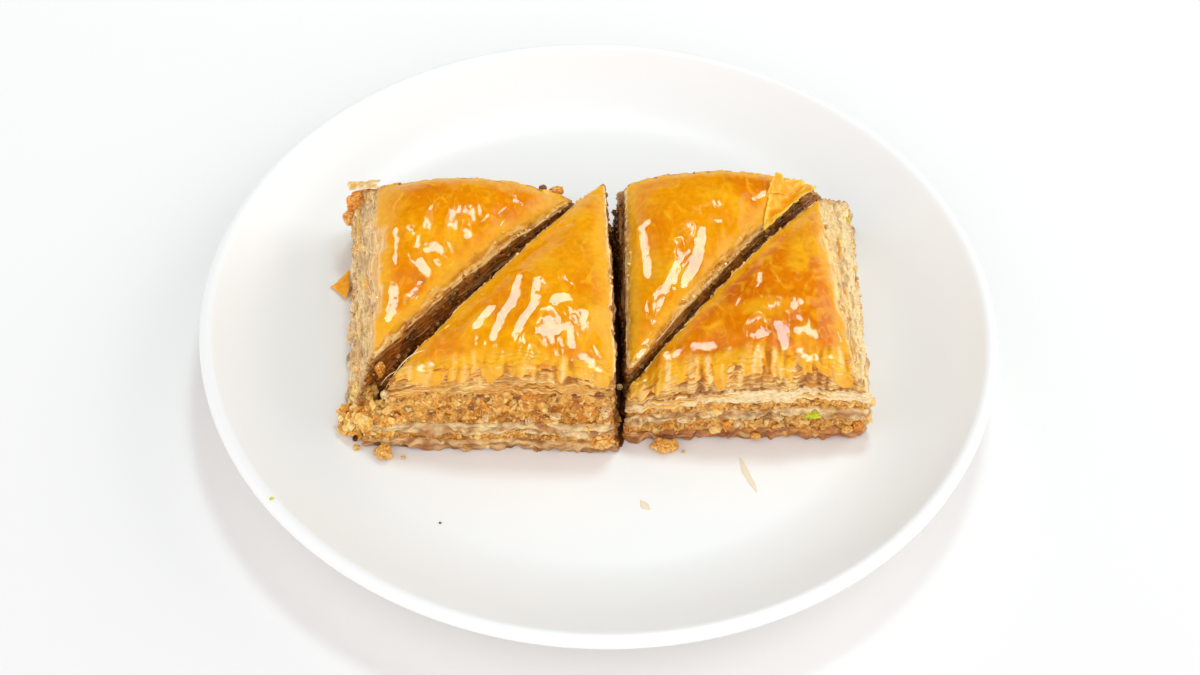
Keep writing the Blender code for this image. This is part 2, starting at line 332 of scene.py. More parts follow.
@dataclass(frozen=True)
class Finish:
    """One finish. Sizes of patterns are in millimetres.

    The tones on a mesh give its broad colours, and the mottle adds what is too fine for the mesh.
    """

    name: str
    colour: str
    roughness: float
    grade: Grade = Grade.PLAIN
    coat: float = 0.0
    coat_roughness: float = 0.03
    ior: float = 1.45
    specular: float = 0.15
    subsurface: float = 0.0
    subsurface_reach: Triple = (1.0, 0.5, 0.15)
    subsurface_scale: float = 1.0
    mottle: float = 0.0
    mottle_size: float = 1.0
    stretch: float = 1.0
    bump: float = 0.0
    bump_size: float = 0.5
    rough_spread: float = 0.0
    rough_size: float = 2.5

    def build(self) -> Material:
        """Makes the material, once for each name.

        Returns:
            The material.
        """
        found = bpy.data.materials.get(self.name)
        if found is not None:
            return found
        made = bpy.data.materials.new(self.name)
        made.use_nodes = True
        tree = made.node_tree
        shader = tree.nodes["Principled BSDF"]
        fixed = {
            "Base Color": rgba(self.colour), "Roughness": self.roughness, "IOR": self.ior,
            "Specular IOR Level": self.specular, "Coat Weight": self.coat,
            "Coat Roughness": self.coat_roughness, "Coat IOR": SYRUP_IOR,
            "Subsurface Weight": self.subsurface, "Subsurface Radius": self.subsurface_reach,
            "Subsurface Scale": self.subsurface_scale * MM,
        }
        for key, value in fixed.items():
            shader.inputs[key].default_value = value
        place = add_node(tree, "ShaderNodeTexCoord").outputs["Object"]
        layered = add_node(
            tree, "ShaderNodeMapping", Vector=place, Scale=(1, 1, self.stretch),
        ).outputs["Vector"]
        if self.grade is Grade.TONED:
            base = add_node(tree, "ShaderNodeVertexColor", {"layer_name": TONE}).outputs["Color"]
            if self.mottle:
                speckle = add_node(
                    tree, "ShaderNodeTexNoise", Vector=layered, Scale=1 / (self.mottle_size * MM),
                    Detail=4.0,
                )
                span = add_node(
                    tree, "ShaderNodeMapRange", Value=speckle.outputs["Fac"], From_Min=0.3, From_Max=0.7,
                    To_Min=1 - self.mottle, To_Max=1 + self.mottle,
                )
                base = add_node(
                    tree, "ShaderNodeVectorMath", {"operation": "SCALE"}, i0=base,
                    Scale=span.outputs["Result"],
                ).outputs["Vector"]
            tree.links.new(base, shader.inputs["Base Color"])
        if self.rough_spread:
            patchy = add_node(
                tree, "ShaderNodeTexNoise", Vector=place, Scale=1 / (self.rough_size * MM), Detail=2.0,
            )
            span = add_node(
                tree, "ShaderNodeMapRange", Value=patchy.outputs["Fac"], From_Min=0.35, From_Max=0.65,
                To_Min=self.roughness - self.rough_spread, To_Max=self.roughness + self.rough_spread,
            )
            tree.links.new(span.outputs["Result"], shader.inputs["Roughness"])
        if self.bump:
            relief = add_node(
                tree, "ShaderNodeTexNoise", Vector=layered, Scale=1 / (self.bump_size * MM), Detail=3.0,
            )
            raised = add_node(
                tree, "ShaderNodeBump", Strength=1.0, Distance=self.bump * MM, Height=relief.outputs["Fac"],
            )
            tree.links.new(raised.outputs["Normal"], shader.inputs["Normal"])
        return made


# Porcelain fired with a clear glaze: white, hard and mirror-smooth, with the faintest waves.
PORCELAIN = Finish("glazed_porcelain", "F3F3F1", 0.33, ior=1.52, specular=0.4, bump=0.008, bump_size=14)
# The upper leaf of yufka, baked and brushed with syrup: amber under a clear wet coat.
GLAZE = Finish(
    "syrup_glazed_leaf", "E8950F", 0.4, Grade.TONED, coat=0.45, coat_roughness=0.015, specular=0.0,
    mottle=0.09, mottle_size=1.3, bump=0.01, bump_size=1.2,
)
# Crisp leaves of yufka cut through: their edges are pale, and the tones paint shade into the gaps between
# them.
BAKED_LEAF = Finish(
    "baked_yufka_leaves", "DFA95A", 0.4, Grade.TONED, coat=0.5, coat_roughness=0.12, subsurface=0.15,
    subsurface_scale=0.6, mottle=0.2, mottle_size=0.9, stretch=4.0, bump=0.035, bump_size=0.5,
    rough_spread=0.15,
)
# Yufka soaked in syrup: limp, half clear and shiny.
SOAKED_LEAF = Finish(
    "soaked_yufka_leaves", "C89A52", 0.26, Grade.TONED, coat=0.8, coat_roughness=0.07, subsurface=0.25,
    subsurface_reach=(1.0, 0.55, 0.2), subsurface_scale=1.2, mottle=0.22, mottle_size=1.4, bump=0.08,
    bump_size=0.9, rough_spread=0.1,
)
# Ground walnuts bound with syrup: rough, brown and patchily wet.
WALNUT_BED = Finish(
    "ground_walnut_and_syrup", "8A5A28", 0.5, Grade.TONED, coat=0.5, coat_roughness=0.15, subsurface=0.1,
    subsurface_reach=(1.0, 0.5, 0.2), subsurface_scale=0.5, mottle=0.4, mottle_size=0.6, bump=0.14,
    bump_size=0.45, rough_spread=0.2,
)
# Syrup that has run off on the plate into the gaps between the pieces; its dark colour is painted shade.
GAP_SHADE_SYRUP = Finish("syrup_and_gap_shade", "5E2C08", 0.2, coat=0.8, coat_roughness=0.03, bump=0.05, bump_size=1.5)
# A thin smear of syrup that lets the porcelain show through.
SMEAR = Finish("thin_syrup_smear", "F0E0C4", 0.3, coat=0.4, coat_roughness=0.05, bump=0.02, bump_size=1.5)
# Chopped walnut kernels: oily cream flesh, golden where toasted, with scraps of brown skin.
WALNUT = Finish(
    "chopped_walnut", "D9A55A", 0.42, Grade.TONED, coat=0.6, coat_roughness=0.07, subsurface=0.15,
    subsurface_scale=0.7, mottle=0.2, mottle_size=0.6, bump=0.05, bump_size=0.35, rough_spread=0.12,
)
# Painted studio board under the plate: white and matt.
BOARD = Finish("white_studio_board", "F4F3F1", 0.75)


class Kernel(Enum):
    """The colours of a nut's flesh from light to dark, as sRGB hex values."""

    CREAM = ("F2D29A", "DDA860", "94602C")
    GOLDEN = ("F8C466", "E6982C", "9A5418")
    ORANGE = ("F2A640", "DC7F1A", "94480C")
    SKINNED = ("A05C24", "7E3E14", "4A220C")
    PISTACHIO = ("D8DC20", "B4C014", "84920E")

    def tones(self) -> tuple[Array, Array, Array]:
        """The three colours as linear values."""
        return tuple(linears(*self.value))


CREAM, GOLDEN, ORANGE, SKINNED, PISTACHIO = Kernel


@dataclass(frozen=True)
class Softbox:
    """A flat lamp that looks at the food. Its place is in millimetres and its size in metres."""

    name: str
    place: Triple
    size: Pair
    watts: float
    colour: str = "FFFFFF"

    def build(self) -> None:
        """Hangs the lamp."""
        data = bpy.data.lights.new(self.name, "AREA")
        data.shape, data.size, data.size_y = "RECTANGLE", *self.size
        data.energy, data.color = self.watts, rgba(self.colour)[:3]
        made = show(self.name, data)
        made.location = Vector(self.place) * MM
        aim = Vector((0, 0, 0.02)) - made.location
        made.rotation_euler = aim.to_track_quat("-Z", "Y").to_euler()


@dataclass
class Studio:
    """The board, the lamps and the camera, at the photograph's angle. Millimetres and degrees.

    The tent darkens by the shade where it opens and brightens to the front. Opening and wings are the
    cosines between which this happens, from the mirrored view.
    """

    distance: float = 459.4
    pitch: float = 49.3
    roll: float = 2.4
    target: Pair = (0.3, 4.0)
    lens: float = 52.5
    sensor: float = 36.0
    tent: float = 0.92
    shade: float = 0.14
    front: float = 0.66
    opening: Pair = (0.72, 0.9)
    wings: Pair = (-0.3, 0.6)
    lamps: tuple[Softbox, ...] = (
        Softbox("window", (110.0, 400.0, 1020.0), (0.192, 0.163), 2.34, "DCFAFF"),
        Softbox("diffuser", (118.0, 430.0, 1097.0), (0.34, 0.28), 0.8),
        Softbox("side", (1100.0, 500.0, 700.0), (0.9, 0.9), 3.9),
    )

    def axes(self) -> tuple[Array, Array, Array, Array]:
        """The camera's place, and the directions to its right, up and ahead."""
        pitch, roll = math.radians(self.pitch), math.radians(self.roll)
        ahead = np.array([0, math.cos(pitch), -math.sin(pitch)])
        up = np.array([0, math.sin(pitch), math.cos(pitch)])
        right = np.array([1.0, 0, 0])
        turned = right * math.cos(roll) + up * math.sin(roll)
        upright = up * math.cos(roll) - right * math.sin(roll)
        return np.array([*self.target, 0]) - ahead * self.distance, turned, upright, ahead

    def mirror_slope(self, place: Array) -> Array:
        """The slope of a facet that mirrors the first lamp to the camera.

        Args:
            place: the facet's middle, or one row for each facet.

        Returns:
            How far the facet rises for each millimetre in x and in y.
        """
        to_eye = self.axes()[0] - place
        to_lamp = np.array(self.lamps[0].place) - place
        half = unit(to_eye) + unit(to_lamp)
        return -half[..., :2] / half[..., 2:]

    def board(self) -> None:
        """The white board that the plate stands on: a wide round sheet just under it."""
        sides, radius, height = 64, 3000.0, -0.02
        turn = np.linspace(0, 2 * math.pi, sides, endpoint=False)
        rim = np.column_stack([radius * np.cos(turn), radius * np.sin(turn), np.full(sides, height)])
        ring = np.arange(sides)
        faces = np.column_stack([np.full(sides, sides), ring, (ring + 1) % sides])
        made = make_mesh("board", np.vstack([rim, [0, 0, height]]), [faces])
        made.data.materials.append(BOARD.build())

    def camera(self) -> None:
        """The camera, placed as the plate's rim in the photograph says."""
        place, right, up, ahead = self.axes()
        data = bpy.data.cameras.new("camera")
        data.lens, data.sensor_width = self.lens, self.sensor
        data.clip_start, data.clip_end = 0.01, 20.0
        made = show("camera", data)
        turned = Matrix((right, up, -ahead)).transposed().to_4x4()
        made.matrix_world = Matrix.Translation(Vector(place) * MM) @ turned
        bpy.context.scene.camera = made

    def world(self) -> None:
        """A white light tent, with the darker opening behind the food that the glaze mirrors."""
        world = bpy.data.worlds.new("light_tent")
        world.use_nodes = True
        tree = world.node_tree
        way = add_node(tree, "ShaderNodeTexCoord").outputs["Generated"]
        mirrored = (0.0, math.cos(math.radians(self.pitch)), math.sin(math.radians(self.pitch)))
        product = {"operation": "DOT_PRODUCT"}
        near = add_node(tree, "ShaderNodeVectorMath", product, i0=way, i1=mirrored).outputs["Value"]
        span = add_node(
            tree, "ShaderNodeMapRange", Value=near, From_Min=self.opening[0], From_Max=self.opening[1],
            To_Min=1.0, To_Max=self.shade,
        )
        sides = add_node(
            tree, "ShaderNodeMapRange", Value=near, From_Min=self.wings[0], From_Max=self.wings[1],
            To_Min=self.tent * (1 + self.front), To_Max=self.tent,
        )
        ends = {"i0": span.outputs["Result"], "i1": sides.outputs["Result"]}
        both = add_node(tree, "ShaderNodeMath", {"operation": "MULTIPLY"}, **ends)
        back = tree.nodes["Background"]
        back.inputs["Color"].default_value = rgba("FCF9FA")
        tree.links.new(both.outputs[0], back.inputs["Strength"])
        bpy.context.scene.world = world

    def build(self) -> None:
        """Sets up the studio."""
        self.board()
        self.camera()
        self.world()
        for lamp in self.lamps:
            lamp.build()
        bpy.context.scene.view_settings.view_transform = "Standard"


@dataclass
class Plate:
    """The round plate: a porcelain shell of even thickness, turned from one outline. Millimetres."""

    radius: float = 100.0
    height: float = 20.0
    wall: float = 3.8
    well: float = 71.0
    foot: float = 56.0
    foot_width: float = 4.5
    segments: int = 256
    middle: float = field(init=False)
    angle: float = field(init=False)

    def __post_init__(self) -> None:
        """Works out the wall's curve from the named sizes."""
        reach = self.radius - self.wall / 2 - self.well
        self.angle = 2 * math.atan2(self.height - FLOOR, reach)
        self.middle = reach / math.sin(self.angle)

    def rise(self, plan: Array) -> Array:
        """How far the plate's upper face has curved up over its floor at each plan point."""
        inner = self.middle - self.wall / 2
        out = np.clip(np.hypot(plan[:, 0], plan[:, 1]) - self.well, 0, inner * 0.9)
        return inner - np.sqrt(inner**2 - out**2)

    def outline(self) -> Array:
        """The turned outline, from the underside round the foot and the lip to the floor's middle."""
        inner, outer = self.middle - self.wall / 2, self.middle + self.wall / 2
        centre = FLOOR + inner
        under = FLOOR - self.wall
        foot_in = self.foot - self.foot_width
        line = [(30.0, under), (foot_in - 0.8, under), (foot_in - 0.2, under - 0.2), (foot_in, under - 0.8)]
        line += [(foot_in + 0.3, 0.3), (foot_in + 0.8, 0.0), (self.foot - 0.8, 0.0), (self.foot - 0.2, 0.2)]
        line += [(self.foot, 0.8), (self.foot, under - 0.8), (self.foot + 0.25, under - 0.2)]
        line += [(self.foot + 0.9, under)]
        for turn in np.linspace(0, self.angle, 20):
            line.append((self.well + outer * math.sin(turn), centre - outer * math.cos(turn)))
        lip_r = self.well + self.middle * math.sin(self.angle)
        lip_z = centre - self.middle * math.cos(self.angle)
        for turn in np.linspace(self.angle - math.pi / 2, self.angle + math.pi / 2, 16)[1:-1]:
            line.append((lip_r + self.wall / 2 * math.cos(turn), lip_z + self.wall / 2 * math.sin(turn)))
        for turn in np.linspace(self.angle, 0, 24):
            line.append((self.well + inner * math.sin(turn), centre - inner * math.cos(turn)))
        line += [(60.0, FLOOR), (40.0, FLOOR), (20.0, FLOOR)]
        return np.array(line)

    def build(self) -> None:
        """Turns the outline and dresses it in porcelain."""
        line = self.outline()
        turn = np.linspace(0, 2 * math.pi, self.segments, endpoint=False)
        across = line[:, 0, None]
        heights = np.repeat(line[:, 1, None], self.segments, axis=1)
        rings = np.stack([across * np.cos(turn), across * np.sin(turn), heights], axis=-1)
        points, groups = ring_solid(rings, np.array([0, 0, FLOOR - self.wall]), np.array([0, 0, FLOOR]))
        dress(make_mesh("glazed_plate", points, groups), PORCELAIN, "porcelain", "plate")


@dataclass(frozen=True)
class Palette:
    """The colours of one triangle's layers, as sRGB hex values."""

    nut: Codes = ("FFE292", "F0B450", "A05C20")
    bed: Codes = ("E0A448", "94561E", "D0841E")
    middle: tuple[str, str] = ("ECCC94", "B87C38")
    foot: tuple[str, str] = ("E8BC7C", "AC6E2E")
    leaf: Codes = ("F8D080", "E2A038", "E29014")
    leaf_gap_shade: str = "9C5A14"
    glaze: tuple[str, str] = ("EA9400", "DE7C00")
    patch: str = "A8622C"
    wall: str = "E2C69C"
    wet: str = "985410"
    rim: str = "ECBA6A"


@dataclass(frozen=True)
class LeafEdge:
    """One ring of points round a bundle of leaves: what its tones depend on."""

    plan: Array
    share: Array
    gap: Array
    crimp: Array
    leaf: float


@dataclass(frozen=True)
class Band:
    """How the leaves of one layer lie between two levels of a triangle. Lengths are in millimetres."""

    low: float
    high: float
    leaves: int
    gap: float
    ragged: float
    stray: float
    lift: float
    swell: float = 0.0


@dataclass
class Triangle:
    """One cut piece of baklava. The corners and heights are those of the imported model, in millimetres.

    Values by edge are for the long cut, the outer edge and the side edge, in this order.
    """

    name: str
    base: Sequence[Sequence[float]]
    shoulder: Sequence[Sequence[float]]
    crust: Sequence[Sequence[float]]
    arches: Sequence[float]
    shares: Sequence[float]
    seed: int
    glints: Sequence[Sequence[Triple]]
    ripples: Triple = (0.12, 0.35, 0.12)
    crumbed: Triple = (0.5, 0.05, 0.5)
    # How wet each edge's wall is; over 1 it also paints shade on walls in the gap between the squares.
    wet_and_gap_shade: Triple = (0.8, 0.0, 0.2)
    faded: Triple = (0.0, 0.0, 0.2)
    margins: Triple = (1.2, 1.2, 1.2)
    roll: float = 2.0
    hang: float = 0.45
    toothed: float = 0.4
    soft_foot: float = 0.0
    palette: Palette = Palette()
    step: float = 0.42
    leaves: int = 12
    dome: float = 3.5

    def __post_init__(self) -> None:
        """Turns the corners to arrays and lays points round the outline."""
        self.plans = [
            np.array(self.base, float), np.array(self.shoulder)[:, :2], np.array(self.crust)[:, :2],
        ]
        self.shoulder_z = np.array(self.shoulder)[:, 2]
        self.crust_z = np.array(self.crust)[:, 2]
        edges = []
        for k in range(3):
            count = int(np.linalg.norm(self.plans[0][(k + 1) % 3] - self.plans[0][k]) / self.step)
            along = np.arange(count) / count
            shares = np.zeros((count, 3))
            shares[:, k], shares[:, (k + 1) % 3] = 1 - along, along
            edges.append(shares)
        sharp = np.vstack(edges)
        self.ring = self.smooth(sharp, 1.6)
        opposite = np.argmin(sharp + np.array([0, 1e-6, 2e-6]), axis=1)
        by_edge = np.array([self.ripples, self.crumbed, self.wet_and_gap_shade, self.faded]).T[opposite]
        self.ripple, self.crumb_share, self.wet_share, self.fade_share = self.smooth(by_edge, 5.0).T
        plan = self.plan(self.ring, 1.0)
        along = np.roll(plan, -2, axis=0) - np.roll(plan, 2, axis=0)
        self.out = unit(outward(along))

    def smooth(self, values: Array, reach: float) -> Array:
        """Averages values round the outline over a reach in millimetres."""
        window = np.hanning(int(2 * reach / self.step) + 3)
        window /= window.sum()
        half = len(window) // 2
        wide = np.vstack([values[-half:], values, values[:half]])
        soft = np.stack([np.convolve(wide[:, k], window, "same") for k in range(values.shape[1])], axis=-1)
        return soft[half : half + len(values)]

    def noise(self, plan: Array, size: float, layer: float | Array, key: int) -> Array:
        """The triangle's random field over plan points. The key picks one of its fields."""
        return field_at(plan, size, layer, self.seed + key)

    def plan(self, weights: Array, level: float | Array) -> Array:
        """The plan of points at a level: 0 on the plate, 1 under the crust and 2 at its upper edge."""
        low, middle, high = (weights @ corners for corners in self.plans)
        level = np.broadcast_to(level, len(weights))
        return np.where((level < 1)[:, None], mix(low, middle, level + 0.0), mix(middle, high, level - 1.0))

    def weights_at(self, plan: Array) -> Array:
        """The shares of the crust's corners at plan points."""
        square = np.vstack([self.plans[2].T, np.ones(3)])
        return np.linalg.solve(square, np.vstack([plan.T, np.ones(len(plan))])).T

    def arch(self, weights: Array) -> Array:
        """How far the surfaces bulge between corners."""
        return sum(4 * self.arches[k] * weights[:, k] * weights[:, (k + 1) % 3] for k in range(3))

    def filling(self, weights: Array, share: float) -> Array:
        """Heights of a face inside the filling. A share of 1 is the face under the crust."""
        full = weights @ self.shoulder_z + 0.3 * self.arch(weights)
        plan = self.plan(weights, 0.0)
        wave = 0.6 * self.noise(plan, 15.0, share * 5, 1) + 0.7 * self.noise(plan, 6.0, share * 7, 2)
        wave += 0.3 * self.noise(plan, 2.4, share * 9, 3)
        return FLOOR + share * full + (wave if share > 0 else 0.0)

    def crust_top(self, weights: Array) -> Array:
        """Heights of the crust's upper face, without its folds."""
        sharp, middle, blunt = 16, 0.265, 2.4
        soft = -np.log(np.exp(-sharp * weights).sum(axis=1)) / sharp
        puffed = self.dome * (1 - (1 - np.clip(soft / middle, 0, 1)) ** blunt)
        return FLOOR + weights @ self.crust_z + self.arch(weights) + puffed

    def stack(self, weights: Array) -> tuple[Array, Array]:
        """Heights of the underside and the upper face of the stack of crisp leaves."""
        return self.filling(weights, 1.0), self.crust_top(weights) - SKIN

    def weather(self, plan: Array, shade: Array, share: float | Array) -> Array:
        """Makes the tones round the outline paler on dry faces and darker on wet ones, by the share.

        A wetness over 1 darkens the walls further: painted shade for the walls in the gap between the
        squares.
        """
        bright = np.clip(shade.mean(axis=1) / shade.mean(), 0.5, 1.25)[:, None]
        faded = mix(shade, np.clip(linear(self.palette.wall) * bright, 0, 1), 0.8 * self.fade_share)
        patch = ease(self.noise(plan, 4.0, share, 83) + 0.6 * self.noise(plan, 1.5, share, 84), -0.5, 0.5)
        syrup = linear(self.palette.wet) * (0.45 + 1.1 * patch)[:, None]
        wet = mix(faded, syrup, 0.95 * np.clip(self.wet_share, 0, 1) * share)
        # Wetness over 1 darkens the wall as painted shade for the gap between the squares.
        return wet * (1 - 0.8 * np.clip(self.wet_share - 1, 0, 1))[:, None]

    def wobble(self, plan: Array, level: float | Array) -> Array:
        """How far the cut faces stray in and out."""
        broad = self.noise(plan, 13.0, np.multiply(level, 0.9), 0)
        return 0.6 * broad + 0.35 * self.noise(plan, 4.5, np.multiply(level, 2.0), 0)

    def crimp(self, plan: Array, layer: float | Array = 0.0) -> Array:
        """The upright ripples that the outer edges share with the glazed leaf's pleats."""
        squeezed = plan * np.array([1.0, 0.2])
        return 0.6 * self.noise(squeezed, 3.0, layer, 6) + 0.8 * self.noise(squeezed, 1.5, layer, 7)

    def bundle(
        self, name: str, band: Band, heights: Callable[[Array], Array], colours: Callable[[LeafEdge], Array],
        crumbs: Array,
    ) -> Object:
        """Leaves of pastry one on another, as one solid whose side shows every leaf's edge.

        Args:
            name: the piece's name after the triangle's.
            band: how the leaves lie.
            heights: the height of the outline's points at a share of the bundle's thickness.
            colours: the tones of one ring of points.
            crumbs: how thickly crumbs stick round the outline.

        Returns:
            The object.
        """
        rings, tones = [], []
        draw = np.random.default_rng(self.seed + band.leaves)
        start = self.plan(self.ring, band.low)
        thick = []
        for leaf, own in enumerate(draw.uniform(0.5, 1.5, band.leaves)):
            uneven = self.noise(start, 8.0, PER_LEAF * leaf + PER_BAND * band.low, 19)
            thick.append(own * np.clip(1 + 1.3 * uneven, 0.12, 3.0))
        floors = np.vstack([np.zeros(len(start)), np.cumsum(thick, axis=0)]) / np.sum(thick, axis=0)
        for leaf in range(band.leaves):
            key = PER_PIECE * self.seed + PER_LEAF * leaf + PER_BAND * band.low
            drift = band.stray * (field_at(start, 6.0, key, 9) + 0.8 * field_at(start, 2.4, key, 10))
            at = np.clip((floors[leaf] + floors[leaf + 1]) / 2 + drift / band.leaves, 0, 1)
            level = band.low + (band.high - band.low) * at
            centre = self.plan(self.ring, level)
            torn = ease(field_at(centre, 3.4, key, 5), 0.2, 0.45) * 1.5
            edge = band.ragged * (0.7 * field_at(centre, 5.0, key, 3) + 0.3 * field_at(centre, 1.6, key, 4))
            for part, depth in EDGE_PROFILE:
                share = floors[leaf] + part * (floors[leaf + 1] - floors[leaf])
                crimp = self.crimp(centre, share * 0.35)
                uneven = 0.8 + 0.5 * field_at(centre, 3.0, key, 7)
                gap = band.gap * depth * uneven + torn * (1 - depth) * band.gap
                swell = band.swell * self.noise(centre, 6.0, share * 1.5, 15)
                swell += 0.4 * band.swell * self.noise(centre, 2.4, share * 3, 17)
                offset = edge * (1 - depth) + self.ripple * crimp + swell - gap + self.wobble(centre, level)
                wave = self.noise(centre, 3.4, share * 1.2, 8) + 0.5 * field_at(centre, 1.6, key, 16)
                lift = band.lift * np.sin(np.pi * np.minimum(share + 0.08, 1)) * wave
                place = centre + self.out * offset[:, None]
                rings.append(np.column_stack([place, heights(share) + lift]))
                tones.append(colours(LeafEdge(centre, share, gap, crimp, key)))
        return self.stacked(f"{name}_leaves", rings, tones, crumbs)

    def stacked(self, name: str, rings: list[Array], tones: list[Array], crumbs: Array) -> Object:
        """Makes a piece from stacked rings.

        Args:
            name: the piece's name after the triangle's.
            rings: the points of each ring, from the lowest to the highest.
            tones: the colours of each ring.
            crumbs: how thickly crumbs stick round the outline.

        Returns:
            The closed piece.
        """
        stack = np.array(rings)
        points, groups = ring_solid(stack, stack[0].mean(axis=0), stack[-1].mean(axis=0))
        shades = np.vstack([*tones, tones[0].mean(axis=0), tones[-1].mean(axis=0)])
        # How far the chips take on the wall's tone, which on walls in the gap carries its painted shade.
        stain = np.clip(0.3 + 0.45 * self.wet_share + 0.3 * self.fade_share, 0, 0.9)
        around = np.tile(np.column_stack([crumbs, stain]), (len(rings), 1))
        return make_mesh(
            f"{self.name}_{name}", points, groups, shades, np.vstack([around, np.zeros((2, 2))]),
        )

    def walnut_bed(self, name: str, low: float, high: float) -> Object:
        """The ground walnuts between two leaves: a rough bed that the chopped pieces sit on."""
        rings, tones = [], []
        bottom, top = self.filling(self.ring, low), self.filling(self.ring, high)
        count = max(5, int(np.mean(top - bottom) / 0.5))
        light, dark, syrup = linears(*self.palette.bed)
        for i in range(count + 1):
            level = low + (high - low) * i / count
            plan = self.plan(self.ring, level)
            place = np.column_stack([plan, bottom + (top - bottom) * i / count])
            crag = 0.55 * grain(place / 2.4, self.seed + 11) + 0.3 * grain(place / 1.0, self.seed + 12)
            offset = crag - 0.5 + self.wobble(plan, level)
            rings.append(place + np.column_stack([self.out * offset[:, None], 0.1 * crag]))
            wet = ease(grain(place / 5.0, self.seed + 14), -0.1, 0.4)
            # Darker in random patches and where the bed sinks in; the latter is painted shade.
            hollow = ease(grain(place / 2.4, self.seed + 13) - 0.4 * crag, -0.1, 0.55)
            tones.append(self.weather(plan + 0.8 * level, blend(light, (syrup, wet), (dark, hollow)), 1.0))
        return self.stacked(f"{name}_bed", rings, tones, np.ones(len(self.ring)))


@dataclass
class GlazeSkin:
    """The glazed upper leaf of one triangle: a puffed, folded sheet laid over the stack.

    The weights are its points' shares of the triangle's corners. The edges are their distances from the
    side edge, the long cut and the outer edge. Torn says how the sheet has flaked off along the first two.
    Pull, slack and pinned say how firmly a taut strip keeps its slope, and how firmly the sheet keeps its
    height inside and at its border. Faces are taken as no thinner than a sliver.
    """

    triangle: Triangle
    fineness: int = 250
    edge_drop: float = 0.5
    pull: float = 450.0
    slack: float = 0.006
    pinned: float = 3.0
    sliver: float = 0.008
    rounds: int = 600

    def __post_init__(self) -> None:
        """Lays the sheet's points over the triangle, with a ragged border."""
        shape = self.triangle
        self.weights, self.faces, self.border = self.grid()
        plan, corners = shape.plan(self.weights, 2.0), shape.plans[2]
        self.middle = corners.mean(axis=0)
        self.edges = np.empty((len(plan), 3))
        for k in range(3):
            side, across = corners[(k + 1) % 3] - corners[k], plan - corners[k]
            self.edges[:, k] = np.abs(side[0] * across[:, 1] - side[1] * across[:, 0]) / np.linalg.norm(side)
        self.near = self.edges.min(axis=1)
        blunt = 0.035 * ease(self.weights.max(axis=1), 0.955, 1.0) ** 2
        plan = plan + (self.middle - plan) * blunt[:, None]
        out = unit(plan - self.middle, TINY)
        ragged = 0.4 * shape.noise(plan, 2.0, 5.0, 61) + 0.25 * shape.noise(plan, 0.9, 5.0, 62)
        ragged -= 0.9 * ease(shape.noise(plan, 3.2, 7.0, 63), 0.25, 0.5)
        stray = (shape.wobble(plan, 2.0) + 0.2) * (1 - ease(self.near, 0.0, 7.0))
        stray = stray + ragged * (1 - ease(self.near, 0.0, 1.6))
        self.bites = ease(shape.noise(plan, 4.2, 3.0, 81) + 0.4 * shape.noise(plan, 1.6, 3.0, 82), 0.0, 0.5)
        stray -= 0.32 * shape.roll * self.bites * (1 - ease(self.edges[:, 2], 0.0, 1.2 * shape.roll))
        self.plan = plan + out * stray[:, None]
        self.torn = [self.frayed(k) for k in range(2)]

    def grid(self) -> tuple[Array, Array, Array]:
        """An even grid over a triangle.

        Returns:
            The shares of the corners, the faces, and the indices of the border counter-clockwise.
        """
        n = self.fineness
        rows, starts, count = [], [], 0
        for i in range(n + 1):
            j = np.arange(n + 1 - i)
            rows.append(np.column_stack([1 - (i + j) / n, j / n, np.full(len(j), i / n)]))
            starts.append(count)
            count += len(j)
        faces = []
        for i in range(n):
            here, above = starts[i] + np.arange(n - i), starts[i + 1] + np.arange(n - i)
            faces.append(np.column_stack([here, here + 1, above]))
            faces.append(np.column_stack([here + 1, above + 1, above])[:-1])
        border = [starts[0] + j for j in range(n)]
        border += [starts[i] + n - i for i in range(n)]
        border += [starts[i] for i in range(n, 0, -1)]
        shares = np.vstack(rows) ** 1.12
        return shares / shares.sum(axis=1)[:, None], np.vstack(faces), np.array(border)

    def rolled(self) -> tuple[Array, Array]:
        """Where the sheet breaks up to leaf edges as it rolls over the outer edge.

        Returns:
            How far each point belongs to the broken zone, and how far it lies into a step, from 0 to 1.
        """
        shape, plan, outer = self.triangle, self.plan, self.edges[:, 2]
        away = outer + 0.3 * shape.roll * shape.noise(plan, 4.0, 0.1, 64)
        wander = 0.9 * shape.noise(plan, 5.0, 0.2, 65) + 0.35 * shape.noise(plan, 1.6, 0.2, 67)
        step = (outer + wander) / 1.0
        return 1 - ease(away, 0.35 * shape.roll, shape.roll), step - np.floor(step)

    def frayed(self, k: int) -> tuple[Array, Array, Array]:
        """Where the sheet has flaked off along a cut and shows the edges of the leaves under it.

        Args:
            k: the edge: 0 for the side and 1 for the long cut.

        Returns:
            How far each point belongs to the flaked strip, how far it lies into a leaf's edge, from 0 to 1,
            and a fibrous field along the cut.
        """
        shape, plan, across = self.triangle, self.plan, self.edges[:, k]
        side = shape.plans[2][(k + 1) % 3] - shape.plans[2][k]
        run = (plan - shape.plans[2][k]) @ side / (side @ side)
        margin = shape.margins[k] * (0.4 + 0.6 * ease(np.minimum(run, 1 - run), 0.1, 0.36))
        fibres = np.column_stack([across / 0.55, run * np.linalg.norm(side) / 4.5])
        away = across + margin * (0.5 * shape.noise(plan, 5.0, 0.35, 55 + k))
        away += 0.1 * margin * shape.noise(plan, 1.7, 0.35, 56)
        wander = 0.8 * shape.noise(plan, 6.0, 0.5, 75 + k) + 0.3 * shape.noise(plan, 2.0, 0.5, 77)
        step = (across + wander) / 0.8
        streak = shape.noise(fibres + 0.3 * shape.noise(plan, 3.0, 0.5, 80)[:, None], 1.0, 0.35, 79)
        return 1 - ease(away, 0.35 * margin, margin), step - np.floor(step), streak

